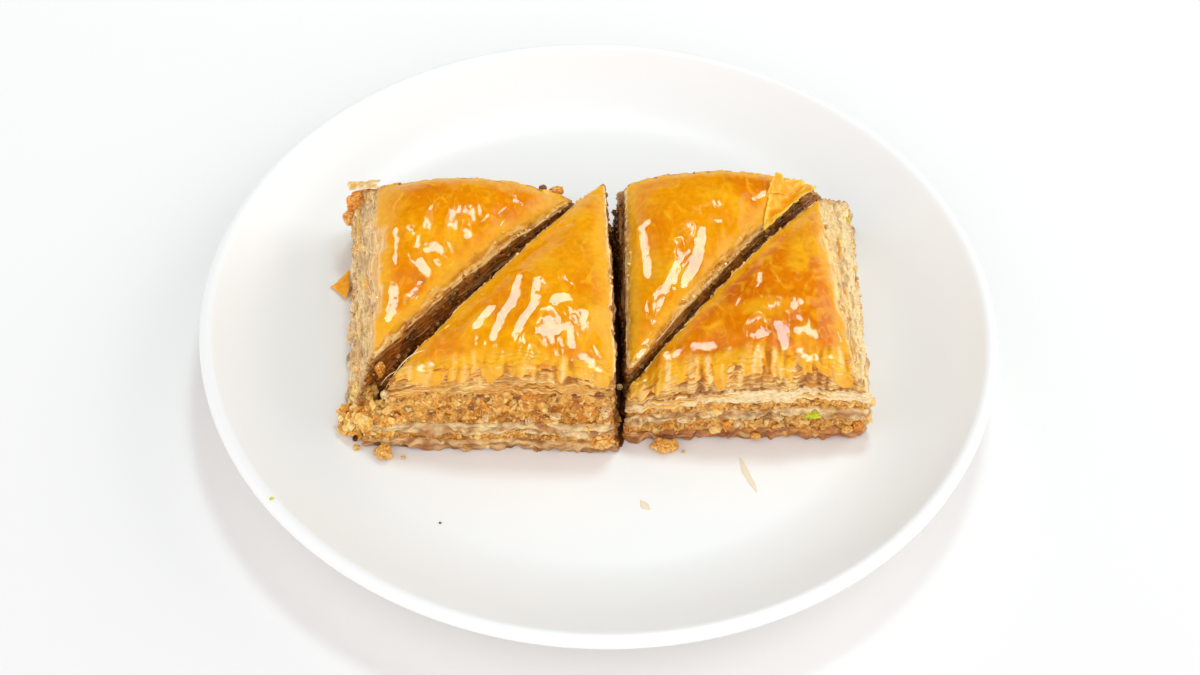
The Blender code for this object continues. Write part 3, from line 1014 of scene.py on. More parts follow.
    def creases(self) -> tuple[Array, Array]:
        """The broad and the fine creases of the sheet, each from 0 to 1 on its crests."""
        noise = self.triangle.noise
        bent = self.plan * np.array([1.0, 0.5]) + 0.8 * noise(self.plan, 6.0, 0.7, 45)[:, None]
        return ridged(1.8 * noise(bent, 5.5, 0.5, 44)), ridged(2.2 * noise(bent, 2.3, 0.9, 48))

    def folds(self) -> Array:
        """The height of the relief: swells, creases, pleats over the outer edge and crumples by the cuts."""
        shape, plan, outer = self.triangle, self.plan, self.edges[:, 2]
        inside = ease(self.near, 0.5, 5.0)
        relief = 0.35 * shape.noise(plan, 12.0, 0.0, 42) + 0.13 * shape.noise(plan, 5.5, 0.4, 43)
        crease, fine = self.creases()
        relief += 0.3 * inside * crease * ease(shape.noise(plan, 9.0, 0.8, 41), -0.3, 0.3)
        relief += 0.09 * inside * fine * ease(shape.noise(plan, 7.0, 0.3, 40), -0.25, 0.35)
        pleat = max(shape.ripples[1], 0.15) * shape.crimp(plan)
        relief += pleat * np.exp(-((outer / (2.0 + shape.roll)) ** 2)) * ease(outer, 0.0, 1.0)
        zone, step = self.rolled()
        relief += 0.32 * zone * (0.5 - step)
        crumple = shape.noise(plan, 1.5, 0.2, 46) + 0.6 * shape.noise(plan, 0.9, 0.6, 47)
        relief += 0.12 * crumple * np.exp(-((np.minimum(self.edges[:, 0], self.edges[:, 1]) / 2.0) ** 2))
        for margin, (broken, layer, streak) in zip(shape.margins, self.torn):
            relief += broken * (0.26 * (0.5 - layer) + 0.22 * streak + 0.1 * crumple)
            relief -= 0.25 * max(margin - 1.5, 0.0) * broken**2
        return relief

    def taut(self) -> Array:
        """How far each point lies on a taut strip of the sheet, from 0 to 1."""
        noise, plan = self.triangle.noise, self.plan
        bent = plan + 0.45 * np.column_stack([noise(plan, 3.2, layer, 58) for layer in (0.3, 5.6)])
        rough = 0.42 * noise(plan, 1.5, 0.3, 59) + 0.24 * noise(plan, 0.8, 0.3, 60)
        strips = np.zeros(len(plan))
        for stroke in self.triangle.glints:
            away = np.full(len(plan), 99.0)
            for first, last in zip(stroke, stroke[1:]):
                start, way = np.array(first[:2]), np.array(last[:2]) - np.array(first[:2])
                run = np.clip((bent - start) @ way / (way @ way), 0, 1)
                width = 0.06 + 0.86 * (first[2] + (last[2] - first[2]) * run)
                off = np.linalg.norm(bent - start - run[:, None] * way, axis=1)
                away = np.minimum(away, off - width + rough * np.minimum(1.6 * width, 1.0))
            strips = np.maximum(strips, 1 - ease(away, -0.14, 0.12))
        return strips

    def drape(self, height: Array) -> tuple[Array, Array]:
        """Pulls the taut strips to the slope that mirrors the window, and lets the rest follow softly.

        It finds the sheet whose slopes are nearest to the wanted ones, by conjugate gradients.

        Args:
            height: the height of the sheet at each point.

        Returns:
            The new heights, and how far each point lies on a strip.
        """
        plan, faces, count = self.plan, self.faces, len(self.plan)
        taut = self.taut()
        wanted = STUDIO.mirror_slope(np.column_stack([plan, height]))
        stray = [self.triangle.noise(plan, 1.6, layer, 74) for layer in (0.0, 3.0)]
        wanted += 0.012 * np.column_stack(stray)
        sides = [plan[faces[:, (k + 2) % 3]] - plan[faces[:, (k + 1) % 3]] for k in range(3)]
        double = sides[0][:, 0] * sides[1][:, 1] - sides[0][:, 1] * sides[1][:, 0]
        double = np.where(np.abs(double) < self.sliver, self.sliver, double)
        turned = [np.column_stack([-side[:, 1], side[:, 0]]) for side in sides]
        hats = np.stack([side / double[:, None] for side in turned], axis=1)
        share, area = taut[faces].mean(axis=1), np.abs(double) / 2
        weight = area * (1 + self.pull * share)

        def slopes(values: Array) -> Array:
            """The slope of each face."""
            return np.einsum("fk,fkc->fc", values[faces], hats)

        def at_points(parts: Array) -> Array:
            """Adds up what each face's corners give to the points."""
            return np.bincount(faces.ravel(), weights=parts.ravel(), minlength=count)

        def gather(flow: Array) -> Array:
            """What slopes ask of the points."""
            return at_points(np.einsum("fc,fkc->fk", flow * weight[:, None], hats))

        firm = self.slack + self.pinned * np.exp(-self.near / 0.6)
        hold = at_points(np.repeat(area / 3, 3)) * firm
        scale = at_points(weight[:, None] * (hats**2).sum(axis=2)) + hold
        move = np.zeros(count)
        left = gather(share[:, None] * (wanted[faces].mean(axis=1) - slopes(height)))
        eased = left / scale
        way, worth = eased, left @ eased
        for _ in range(self.rounds):
            pushed = gather(slopes(way)) + hold * way
            pace = worth / (way @ pushed)
            move, left = move + pace * way, left - pace * pushed
            eased = left / scale
            worth, before = left @ eased, worth
            way = eased + way * worth / before
        LOG.info("%s: the sheet moved %.2f to %.2f mm", self.triangle.name, move.min(), move.max())
        return height + move, taut

    def pleated(self, plan: Array, base: Array) -> Array:
        """The tones of the pleats over the outer edge: pale crests, which are painted highlight, and brown
        hollows, which are painted shade.
        """
        shape = self.triangle
        crimp = shape.crimp(plan) * (0.5 + ease(shape.noise(plan, 9.0, 0.1, 68), -0.3, 0.3))
        # Pale crests are painted highlight, brown hollows painted shade.
        crest_highlight = shape.toothed * ease(crimp, -0.1, 0.6)
        return blend(base, (linear("FADB98"), crest_highlight), (linear("B8661A"), 0.9 * ease(-crimp, 0.2, 0.8)))

    def hem(self, rim: Array, tones: Array) -> tuple[Array, Array]:
        """The hem of the sheet, which hangs unevenly over the edges of the leaves on the outer side.

        Args:
            rim: the border's points.
            tones: the border's colours.

        Returns:
            Rings of points below the border, and their colours.
        """
        shape, weights, rings = self.triangle, self.weights[self.border], 6
        sides = np.roll(shape.plans[2], -1, axis=0) - shape.plans[2]
        normal = unit(outward(sides))[(np.argmin(weights, axis=1) + 1) % 3]
        plan = shape.plan(weights, 2.0)
        outer = (weights[:, 1] == 0) * ease(np.minimum(weights[:, 0], weights[:, 2]), 0.0, 0.05)
        uneven = shape.noise(plan, 7.0, 2.0, 85) + 0.5 * shape.noise(plan, 2.6, 2.0, 86)
        uneven += 0.12 * shape.noise(plan, 0.9, 2.0, 88)
        reach = 0.1 + shape.hang * outer * (1 - self.bites[self.border]) * ease(uneven, -0.5, 0.5)
        low, high = shape.stack(weights)
        start = ((rim[:, :2] - plan) * normal).sum(axis=1)
        ripple = 0.12 + (shape.ripples[1] - 0.12) * outer
        drip = mix(self.pleated(plan, linear("F2B23A")), linear("D88A1C"), 0.5 * ease(uneven, 0.0, 0.6))
        places, shades = [], []
        for j in range(1, rings + 1):
            level = 2 - reach * j / rings
            wall = shape.wobble(plan, level) + ripple * shape.crimp(plan, (level - 1) * 0.35)
            offset = start + (wall + 0.55 - start) * min(1.0, j / 2) * np.minimum(1, 3 * reach)
            offset = offset - (0.9 if j == rings else 0.0)
            sunk = rim[:, 2] + (low + (high - low) * (level - 1) - rim[:, 2]) * min(1.0, j / 2) - 0.06 * j
            place = shape.plan(weights, level) + rim[:, :2] - plan + normal * (offset - start)[:, None]
            places.append(np.column_stack([place, sunk]))
            shades.append(mix(tones, drip, min(1.0, j / 3) * outer))
        return np.array(places), np.array(shades)

    def tones(self) -> Array:
        """The colours of the sheet: amber, deeper where it baked longest and pale at its dry edges, with
        painted sheen on the back pieces' outer edge and on crease crests, and painted shade in troughs and at
        leaf steps.
        """
        shape, plan, noise, margins = self.triangle, self.plan, self.triangle.noise, self.triangle.margins
        codes = (*shape.palette.glaze, "F4B21C", "EEAA24", "E8B45C", "B8661A", "FFE09E", shape.palette.rim)
        amber, deep, yellow, golden, pale, brown, cream, rim = linears(*codes)
        crease, fine = self.creases()
        shade = blend(
            amber, (deep, ease(noise(plan, 15.0, 0.2, 51), -0.25, 0.5)),
            (yellow, 0.6 * ease(noise(plan, 7.0, 0.6, 52), 0.0, 0.6)),
            (yellow, 0.35 * ease(noise(plan, 2.2, 0.6, 57), 0.1, 0.6)),
            (brown, 0.22 * ease(noise(plan, 3.6, 0.8, 53), 0.35, 0.8)),
            # Yellow along the crease crests is painted sheen.
            (yellow * 1.08, 0.5 * ease(crease, 0.7, 0.97) * ease(noise(plan, 5.0, 0.9, 90), -0.2, 0.3)),
            (yellow * 1.08, 0.45 * ease(fine, 0.75, 0.97) * ease(noise(plan, 4.0, 0.9, 91), -0.3, 0.2)),
        )
        # Darker away from the fine crests, in the troughs: painted shade.
        trough_shade = 0.1 * ease(-fine, -0.25, 0.0) * ease(noise(plan, 3.0, 0.9, 92), 0.0, 0.4)
        shade = shade * (1 - trough_shade)[:, None]
        near = self.near + 1.4 * noise(plan, 5.0, 0.5, 54)
        crumbly = noise(plan, 1.7, 0.35, 56)
        away = self.edges[:, 2] + margins[2] * (0.5 * noise(plan, 5.0, 0.35, 57) + 0.15 * crumbly)
        # Pale towards the outer edge: dry leaf, and on the back pieces' outer edge also painted sheen.
        dry = 1 - ease(away, 0.3 * margins[2], margins[2])
        shade = blend(
            shade, (yellow, 0.8 * (1 - ease(near, 0.3, 4.5))),
            (pale, 0.7 * dry * (0.55 + 0.45 * ease(crumbly, -0.3, 0.3))),
        )
        for k, (broken, layer, streak) in enumerate(self.torn):
            fringe = margins[k] * (1 + 0.5 * noise(plan, 6.0, 0.35, 87 + k))
            dry = blend(
                yellow, (pale if k else rim, 0.7 if k else 1.0),
                (brown, (0.7 if k else 0.4) * ease(-streak + 0.3 * layer, 0.0, 0.5)),
                (cream, 0.6 * ease(streak - 0.3 * layer, 0.0, 0.35)),
            )
            golden_share = 0.6 * (1 - ease(self.edges[:, k], 0.8 * fringe, 1.7 * fringe))
            shade = blend(shade, (golden, golden_share), (dry, 0.9 * broken))
        shade = mix(shade, cream, 0.6 * (1 - ease(self.edges[:, :2].min(axis=1), 0.15, 0.6)))
        zone, step = self.rolled()
        # Brown at each leaf step in the rolled zone: painted shade.
        step_shade = 0.55 * np.exp(-((step / 0.22) ** 2)) * ease(noise(plan, 2.0, 0.4, 69), -0.3, 0.3)
        return mix(shade, mix(self.pleated(plan, yellow), brown * 0.9, step_shade), 0.85 * zone)

    def build(self) -> Object:
        """Lays the sheet over the triangle.

        Returns:
            The object, a closed solid with its underside hidden in the stack.
        """
        shape, plan, border = self.triangle, self.plan, self.border
        height = shape.crust_top(self.weights) + self.folds() - self.edge_drop * np.exp(-self.near / 0.8)
        height, taut = self.drape(height)
        isles = 0.05 * ease(shape.noise(plan, 1.8, 4.0, 89), 0.1, 0.35)
        fine = (0.012 * (1 - taut) + isles * taut) * shape.noise(plan, 1.1, 0.9, 49)
        top, tones = np.column_stack([plan, height + fine]), self.tones()
        rings, drips = self.hem(top[border], tones[border])
        centre = np.array([[*self.middle, FLOOR + 0.5 * float(shape.shoulder_z.mean())]])
        ring = np.arange(len(border))
        after = (ring + 1) % len(border)
        walls = [border] + [len(top) + j * len(border) + ring for j in range(len(rings))]
        skirt = [
            np.column_stack([upper, lower, lower[after], upper[after]])
            for upper, lower in zip(walls, walls[1:])
        ]
        last = len(top) + len(rings) * len(border)
        under = np.column_stack([np.full(len(ring), last), walls[-1][after], walls[-1]])
        sticky = np.zeros((last + 1, 2))
        by_side, by_cut = self.torn[0][0], self.torn[1][0]
        sticky[: len(top), 0] = np.maximum(shape.crumbed[0] * by_cut, shape.crumbed[2] * by_side)
        sticky[: len(top), 1] = 0.25
        points = np.vstack([top, rings.reshape(-1, 3), centre])
        shades = np.vstack([tones, drips.reshape(-1, 3), tones[:1]])
        made = make_mesh(f"{shape.name}_glaze", points, [self.faces, *skirt, under], shades, sticky)
        return dress(made, GLAZE, "glazed_crust", f"{shape.name}_crust")


@dataclass
class LeafFringe:
    """Single leaves that stand out of one triangle's crust: thin, ragged and curled."""

    triangle: Triangle
    count: int = 26
    thickness: float = 0.13
    root: float = 0.9

    def strip(self, draw: np.random.Generator, index: int) -> Shape:
        """One leaf's points, faces and tones.

        Args:
            draw: the source of random sizes.
            index: the leaf's number.

        Returns:
            The shape, closed at both ends.
        """
        shape = self.triangle
        total = len(shape.ring)
        length = int(draw.uniform(5, 22) / shape.step)
        ids = (int(draw.integers(total)) + np.arange(length)) % total
        share = draw.uniform(0.05, 0.97)
        reach = draw.uniform(0.15, 0.75)
        curl = draw.uniform(-0.5, 0.6)
        weights = shape.ring[ids]
        plan = shape.plan(weights, 1.0 + share)
        out = shape.out[ids]
        low, high = shape.stack(weights)
        along = np.sin(np.linspace(0, math.pi, length)) ** 0.5
        tip = reach * along * (1 + 0.5 * shape.noise(plan, 1.6, index, 71)) + 0.05
        ruffle = 0.35 * shape.noise(plan, 2.4, index, 72) + 0.15 * field_at(plan, 1.1, index, 73)
        body = shape.wobble(plan, 1.0 + share) + shape.ripple[ids] * shape.crimp(plan, share * 0.35)
        rows = []
        for out_share, side in ((-1, -1), (0.4, -1), (1, -0.4), (1, 0.4), (0.4, 1), (-1, 1)):
            offset = body + (tip * out_share if out_share > 0 else -self.root)
            bend = (curl * tip + ruffle) * max(out_share, 0.0) + side * self.thickness / 2
            height = low + (high - low) * share + bend
            rows.append(np.column_stack([plan + out * offset[:, None], height]))
        rings = np.stack(rows, axis=1)
        points, groups = ring_solid(rings[:, ::-1], rings[0].mean(axis=0), rings[-1].mean(axis=0))
        pale, golden, amber = linears(*shape.palette.leaf)
        base = mix(pale, golden, draw.uniform(0, 0.7))
        base = mix(base, amber, 0.9 * float(np.clip((share - 0.45) / 0.5, 0, 1)))
        # Darker where the wall is wet; on walls in the gap between the squares this is also painted shade.
        base = mix(base, linear("8A4E18"), 0.8 * float(np.clip(shape.wet_share[ids].mean(), 0, 1)))
        shades = np.tile(base, (len(points), 1))
        return points, groups, shades

    def build(self) -> Object:
        """Sets the leaves round the crust.

        Returns:
            The object.
        """
        draw = np.random.default_rng(self.triangle.seed)
        points, groups, tones = join([self.strip(draw, index) for index in range(self.count)])
        made = make_mesh(f"{self.triangle.name}_loose_leaves", points, groups, tones)
        return dress(made, BAKED_LEAF, "glazed_crust", f"{self.triangle.name}_crust")


@dataclass
class CrumbScatter:
    """Scatters chopped walnut over a bed with Geometry Nodes. Sizes are half widths in millimetres.

    A skew over 1 makes small chips commoner, and the turn is the largest about each axis, in radians.
    """

    kinds: int = 7
    corners: int = 11
    skew: float = 2.2
    turn: float = 6.28
    seed: int = 5
    source: Collection = field(init=False)
    tree: NodeTree = field(init=False)

    def __post_init__(self) -> None:
        """Makes the shapes and the tree."""
        self.source = self.chips()
        self.tree = self.scatter_tree()

    def chips(self) -> Collection:
        """Angular chips of kernel, each the hull of a few random points.

        Returns:
            A collection that isn't shown.
        """
        group = bpy.data.collections.new("walnut_chips")
        draw = np.random.default_rng(self.seed)
        for kind in range(self.kinds):
            shape = bmesh.new()
            stretch = draw.uniform(0.6, 1.15, 3)
            for _ in range(self.corners):
                way = draw.normal(size=3)
                shape.verts.new(Vector(way / np.linalg.norm(way) * stretch * draw.uniform(0.8, 1.0)))
            hull = bmesh.ops.convex_hull(shape, input=shape.verts)
            spare = list({*hull["geom_interior"], *hull["geom_unused"]})
            bmesh.ops.delete(shape, geom=spare, context="VERTS")
            bmesh.ops.recalc_face_normals(shape, faces=shape.faces)
            mesh = bpy.data.meshes.new(f"chip_{kind}")
            shape.to_mesh(mesh)
            shape.free()
            group.objects.link(bpy.data.objects.new(f"chip_{kind}", mesh))
        return group

    def scatter_tree(self) -> NodeTree:
        """The tree that places chips on the faces of a bed.

        Returns:
            The tree, with named inputs for its sizes.
        """
        tree = bpy.data.node_groups.new("scatter_chips", "GeometryNodeTree")
        kinds = {
            "Geometry": "Geometry", "Per Square Metre": "Float", "Smallest": "Float", "Largest": "Float",
            "Steepness": "Float", "Seed": "Int", "Light": "Color", "Middle": "Color", "Dark": "Color",
            "Finish": "Material",
        }
        for name, kind in kinds.items():
            tree.interface.new_socket(name, in_out="INPUT", socket_type=f"NodeSocket{kind}")
        tree.interface.new_socket("Geometry", in_out="OUTPUT", socket_type="NodeSocketGeometry")
        given = add_node(tree, "NodeGroupInput").outputs
        normal = add_node(tree, "GeometryNodeInputNormal").outputs["Normal"]
        upright = add_node(tree, "ShaderNodeSeparateXYZ", Vector=normal).outputs["Z"]
        flat = add_node(tree, "ShaderNodeMath", {"operation": "ABSOLUTE"}, i0=upright).outputs[0]
        side = add_node(
            tree, "FunctionNodeCompare", {"operation": "LESS_THAN"}, i0=flat, i1=given["Steepness"],
        )
        sticky = add_node(tree, "GeometryNodeInputNamedAttribute", {"data_type": "FLOAT"}, Name=CRUMBS)
        dense = add_node(
            tree, "ShaderNodeMath", {"operation": "MULTIPLY"}, i0=given["Per Square Metre"],
            i1=sticky.outputs["Attribute"],
        )
        spots = add_node(
            tree, "GeometryNodeDistributePointsOnFaces", Mesh=given["Geometry"], Selection=side.outputs[0],
            Density=dense.outputs[0], Seed=given["Seed"],
        ).outputs["Points"]
        draw = add_node(
            tree, "FunctionNodeRandomValue", {"data_type": "FLOAT"}, Seed=given["Seed"],
        ).outputs[1]
        skewed = add_node(tree, "ShaderNodeMath", {"operation": "POWER"}, i0=draw, i1=self.skew).outputs[0]
        span = add_node(
            tree, "ShaderNodeMapRange", Value=skewed, To_Min=given["Smallest"], To_Max=given["Largest"],
        ).outputs["Result"]
        most = (self.turn, self.turn, self.turn)
        turn = add_node(tree, "FunctionNodeRandomValue", {"data_type": "FLOAT_VECTOR"}, i1=most, Seed=3)
        shapes = add_node(tree, "GeometryNodeCollectionInfo", Separate_Children=True, Reset_Children=True)
        shapes.inputs["Collection"].default_value = self.source
        placed = add_node(
            tree, "GeometryNodeInstanceOnPoints", Points=spots, Instance=shapes.outputs[0],
            Pick_Instance=True, Rotation=turn.outputs[0], Scale=span,
        ).outputs["Instances"]
        hue = add_node(tree, "FunctionNodeRandomValue", {"data_type": "FLOAT"}, Seed=11).outputs[1]
        first = add_node(tree, "ShaderNodeMapRange", Value=hue, From_Max=0.55).outputs["Result"]
        second = add_node(tree, "ShaderNodeMapRange", Value=hue, From_Min=0.6).outputs["Result"]
        under = add_node(tree, "GeometryNodeInputNamedAttribute", {"data_type": "FLOAT_COLOR"}, Name=TONE)
        stain = add_node(tree, "GeometryNodeInputNamedAttribute", {"data_type": "FLOAT"}, Name=HOST_TINT)
        tone = given["Light"]
        shares = (first, second, stain.outputs["Attribute"])
        for share, other in zip(shares, (given["Middle"], given["Dark"], under.outputs["Attribute"])):
            tone = add_node(
                tree, "ShaderNodeMix", {"data_type": "RGBA"}, i0=share, i6=tone, i7=other,
            ).outputs[2]
        stored = add_node(
            tree, "GeometryNodeStoreNamedAttribute", {"data_type": "FLOAT_COLOR", "domain": "INSTANCE"},
            Geometry=placed, Name=TONE, Value=tone,
        ).outputs["Geometry"]
        real = add_node(tree, "GeometryNodeRealizeInstances", Geometry=stored).outputs["Geometry"]
        dressed = add_node(tree, "GeometryNodeSetMaterial", Geometry=real, Material=given["Finish"])
        add_node(tree, "NodeGroupOutput", Geometry=dressed.outputs["Geometry"])
        return tree

    def over(
        self, bed: Object, name: str, sizes: Pair, density: float, colours: Codes, seed: int,
        steepness: float = 0.8,
    ) -> Object:
        """Scatters chips over a bed.

        Args:
            bed: the bed.
            name: the new piece's name.
            sizes: the smallest and the largest half width, in millimetres.
            density: chips for each square millimetre where the bed is stickiest.
            colours: light, middle and dark, as sRGB hex values.
            seed: picks the places.
            steepness: faces that look further up or down than this get no chips.

        Returns:
            The chips as one plain mesh.
        """
        host = show(name, bed.data.copy())
        carrier = host.modifiers.new("scatter", "NODES")
        carrier.node_group = self.tree
        values = {
            "Per Square Metre": density * SQUARE, "Smallest": sizes[0] * MM, "Largest": sizes[1] * MM,
            "Steepness": steepness, "Seed": seed, "Light": rgba(colours[0]), "Middle": rgba(colours[1]),
            "Dark": rgba(colours[2]), "Finish": WALNUT.build(),
        }
        for item in self.tree.interface.items_tree:
            if item.in_out == "INPUT" and item.name in values:
                carrier[item.identifier] = values[item.name]
        bpy.context.view_layer.update()
        graph = bpy.context.evaluated_depsgraph_get()
        mesh = bpy.data.meshes.new_from_object(host.evaluated_get(graph))
        bpy.data.objects.remove(host)
        mesh.name = name
        return show(name, mesh)

    def clear(self) -> None:
        """Removes the chips that the scatter copied."""
        for chip in list(self.source.objects):
            bpy.data.objects.remove(chip)
        bpy.data.collections.remove(self.source)


@dataclass
class Dresser:
    """Builds every visible piece of one triangle. The thickness is that of a soaked leaf."""

    triangle: Triangle
    crumbs: CrumbScatter
    thickness: float = 1.3

    def crumble(
        self, host: Object, node: str, sizes: Pair, density: float, kind: str = "chopped",
        steepness: float = 0.8, colours: Codes | None = None,
    ) -> None:
        """Sticks crumbs to a piece that stands for a node.

        Args:
            host: the piece.
            node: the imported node.
            sizes: the smallest and the largest half width.
            density: crumbs for each square millimetre where it is stickiest.
            kind: the end of the new piece's name.
            steepness: faces that look further up or down than this get none.
            colours: their light, middle and dark colours, where they aren't the nuts'.
        """
        shape = self.triangle
        name, seed = f"{shape.name}_{node}_{kind}", shape.seed + len(node)
        made = self.crumbs.over(host, name, sizes, density, colours or shape.palette.nut, seed, steepness)
        dress(made, WALNUT, "walnut_filling", f"{shape.name}_{node}")

    def soaked(self, node: str, low: float, high: float, colours: tuple[str, str]) -> None:
        """A soaked bundle of leaves between two shares of the filling's height.

        Args:
            node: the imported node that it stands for.
            low: the share of the filling's height at its underside.
            high: the share at its upper face.
            colours: its light and dark colours.
        """
        shape = self.triangle
        bottom, top = shape.filling(shape.ring, low), shape.filling(shape.ring, high)
        if low == 0:
            bottom = FLOOR + PLATE.rise(shape.plan(shape.ring, 0.0)) + 0.05
        pale, deep, bright, plate_shade = linears(*colours, "FFE2A0", "8A4A16")

        def tone(edge: LeafEdge) -> Array:
            """The colours of one ring: patchy, with bright threads, painted shade in the seams between leaves
            and painted shade darkening it towards the plate.
            """
            patch = ease(shape.noise(edge.plan, 3.6, edge.share * 2.5, 21), -0.3, 0.35)
            open_seam = ease(shape.noise(edge.plan, 3.0, edge.share * 3, 22), -0.2, 0.3)
            # Dark seams between the leaves: painted shade.
            seam_shade = ease(edge.gap, 0.1, 0.45) * open_seam
            line = ease(shape.noise(edge.plan, 2.6, edge.leaf, 25), 0.15, 0.5)
            line = line * (1 - ease(edge.gap, 0.02, 0.12))
            # Darker towards the plate: painted shade at the foot.
            foot = 0.75 * (1 - ease(edge.share, 0.0, 0.45)) if low == 0 else 0.0
            shade = blend(
                pale, (deep, patch), (deep * 0.5, 0.6 * seam_shade), (bright, 0.35 * line), (plate_shade, foot),
            )
            return shape.weather(edge.plan, shade, 0.9)

        leaves = max(3, int(round(float(np.mean(top - bottom)) / self.thickness)))
        band = Band(low, high, leaves, gap=0.4, ragged=0.3, stray=0.8, lift=0.8, swell=1.2)
        patchy = np.clip(0.4 + 1.3 * shape.noise(shape.plan(shape.ring, 0.5), 5.0, low, 23), 0, 1)
        sticky = patchy * (0.6 if low else 0.3)
        made = shape.bundle(node, band, lambda share: bottom + (top - bottom) * share, tone, sticky)
        dress(made, SOAKED_LEAF, "soaked_pastry", f"{shape.name}_{node}")
        self.crumble(made, node, (0.2, 1.1), 0.8)

    def crust(self) -> None:
        """The stack of crisp leaves, pale at its foot and amber under the glaze."""
        shape, palette = self.triangle, self.triangle.palette
        bottom, top = shape.stack(shape.ring)
        codes = (*palette.leaf, palette.leaf_gap_shade, palette.patch, "FFE8B8", "D48418")
        pale, golden, amber, dark, bruise, foot, clear = linears(*codes)

        def tone(edge: LeafEdge) -> Array:
            """The colours of one ring: leaf by leaf, with brown patches, pale ripple crests that are painted
            highlight, and dark ripple valleys and dark gaps between leaves that are painted shade.
            """
            run = shape.noise(edge.plan, 2.6, edge.share * 0.8, 31)
            own = ease(shape.noise(edge.plan, 6.0, edge.leaf, 32), -0.35, 0.4)
            hollow = ease(shape.noise(edge.plan, 3.4, edge.share * 1.5, 34), 0.22, 0.5)
            broken = ease(shape.noise(edge.plan, 6.0, edge.leaf + 0.5, 36), -0.5, 0.15)
            upper = ease(edge.share + 0.3 * run, 0.3, 0.6)
            shade = blend(
                pale, (golden, own), (amber, ease(edge.share + 0.25 * run, 0.55, 1.0)),
                (clear, 0.65 * ease(shape.noise(edge.plan, 5.0, edge.leaf + 0.7, 37), 0.1, 0.4)),
                (bruise, 0.75 * hollow * ease(edge.share, 0.2, 0.45)),
                # Pale ripple crests are painted highlight; dark ripple valleys and the dark gaps between
                # leaves are painted shade.
                (pale * 1.06, np.clip(ease(edge.crimp, 0.0, 0.5) * shape.ripple * 1.6, 0, 0.9) * upper),
                (dark * 1.2, np.clip(ease(-edge.crimp, 0.05, 0.6) * shape.ripple * 2.2, 0, 0.85) * upper),
                (dark, 0.75 * ease(edge.gap, 0.1, 0.42) * broken),
            )
            if shape.soft_foot:
                level = shape.soft_foot
                at_foot = np.exp(-(((edge.share - level) / 0.035) ** 2))
                teeth = at_foot * np.clip(1.5 * shape.ripple - 0.5, 0, 1)
                teeth = teeth * ease(shape.noise(edge.plan, 0.9, 0.0, 35), -0.1, 0.2)
                soft = 0.8 * (1 - ease(edge.share + 0.05 * run, level - 0.04, level))
                shade = blend(shade, (foot, soft), (bruise * 0.6, teeth))
            return shape.weather(edge.plan, shade, 1 - 0.7 * ease(edge.share, 0.5, 1.0))

        band = Band(1.0, 2.0, shape.leaves, gap=0.45, ragged=0.45, stray=1.1, lift=0.5)
        patch = 0.5 + shape.noise(shape.plan(shape.ring, 1.0), 5.0, 0.0, 33)
        sticky = shape.crumb_share * np.clip(patch, 0, 1)
        made = shape.bundle("crust", band, lambda share: bottom + (top - bottom) * share, tone, sticky)
        dress(made, BAKED_LEAF, "glazed_crust", f"{shape.name}_crust")
        self.crumble(made, "crust", (0.16, 0.9), 1.8)

    def nuts(self, node: str, low: float, high: float) -> None:
        """A bed of walnuts, and chopped pieces scattered over its sides."""
        made = self.triangle.walnut_bed(node, low, high)
        dress(made, WALNUT_BED, "walnut_filling", f"{self.triangle.name}_{node}")
        self.crumble(made, node, (0.32, 1.2), 1.1)
        self.crumble(made, node, (0.9, 1.9), 0.05, "kernels")

    def build(self) -> None:
        """Builds the triangle from the plate up."""
        shape = self.triangle
        low, mid, high = shape.shares
        self.soaked("base_pastry", 0.0, low, shape.palette.foot)
        self.nuts("lower_walnuts", low, mid)
        self.soaked("middle_pastry", mid, high, shape.palette.middle)
        self.nuts("upper_walnuts", high, 1.0)
        self.crust()
        LeafFringe(shape).build()
        rim = ("FFE6A0", "F4C05A", "D8943C")
        self.crumble(GlazeSkin(shape).build(), "crust", (0.16, 0.75), 0.9, "rim_crumbs", 1.1, rim)


@dataclass(frozen=True)
class Nut:
    """A piece of nut that is large enough to have its own shape. Millimetres over the floor."""

    place: Triple
    half: Triple
    kernel: Kernel
    turn: float = 0.0
    rough: float = 1.0

    def shape(self, seed: int) -> Shape:
        """The nut's points, faces and tones.

        Args:
            seed: picks its lumps.

        Returns:
            The closed shape.
        """
        ball = bmesh.new()
        bmesh.ops.create_icosphere(ball, subdivisions=5 if max(self.half) > 1.8 else 4, radius=1.0)
        ways = np.array([vert.co[:] for vert in ball.verts])
        faces = np.array([[vert.index for vert in face.verts] for face in ball.faces])
        ball.free()
        lump = 0.24 * grain(ways * 1.3, seed) + 0.12 * grain(ways * 2.6, seed + 1)
        brain = ridged(2.0 * grain(ways * 2.1, seed + 2))
        fine = 0.045 * grain(ways * 6.5, seed + 3) + 0.02 * grain(ways * 14, seed + 4)
        radius = 1 + self.rough * (lump - 0.2 * brain + fine)
        chips = ways * radius[:, None]
        facet = np.clip(np.abs(chips) - 0.82, 0, None)
        points = (chips - 0.6 * np.sign(chips) * facet) * np.array(self.half)
        cos, sin = math.cos(math.radians(self.turn)), math.sin(math.radians(self.turn))
        points = points @ np.array([[cos, sin, 0], [-sin, cos, 0], [0, 0, 1]])
        points += np.array(self.place) + np.array([0, 0, FLOOR])
        light, middle, dark = self.kernel.tones()
        shade = mix(light, middle, ease(grain(ways * 1.8, seed + 5), -0.3, 0.5))
        shade = mix(shade, dark, 0.75 * ease(brain, 0.45, 0.95))
        return points, [faces], shade


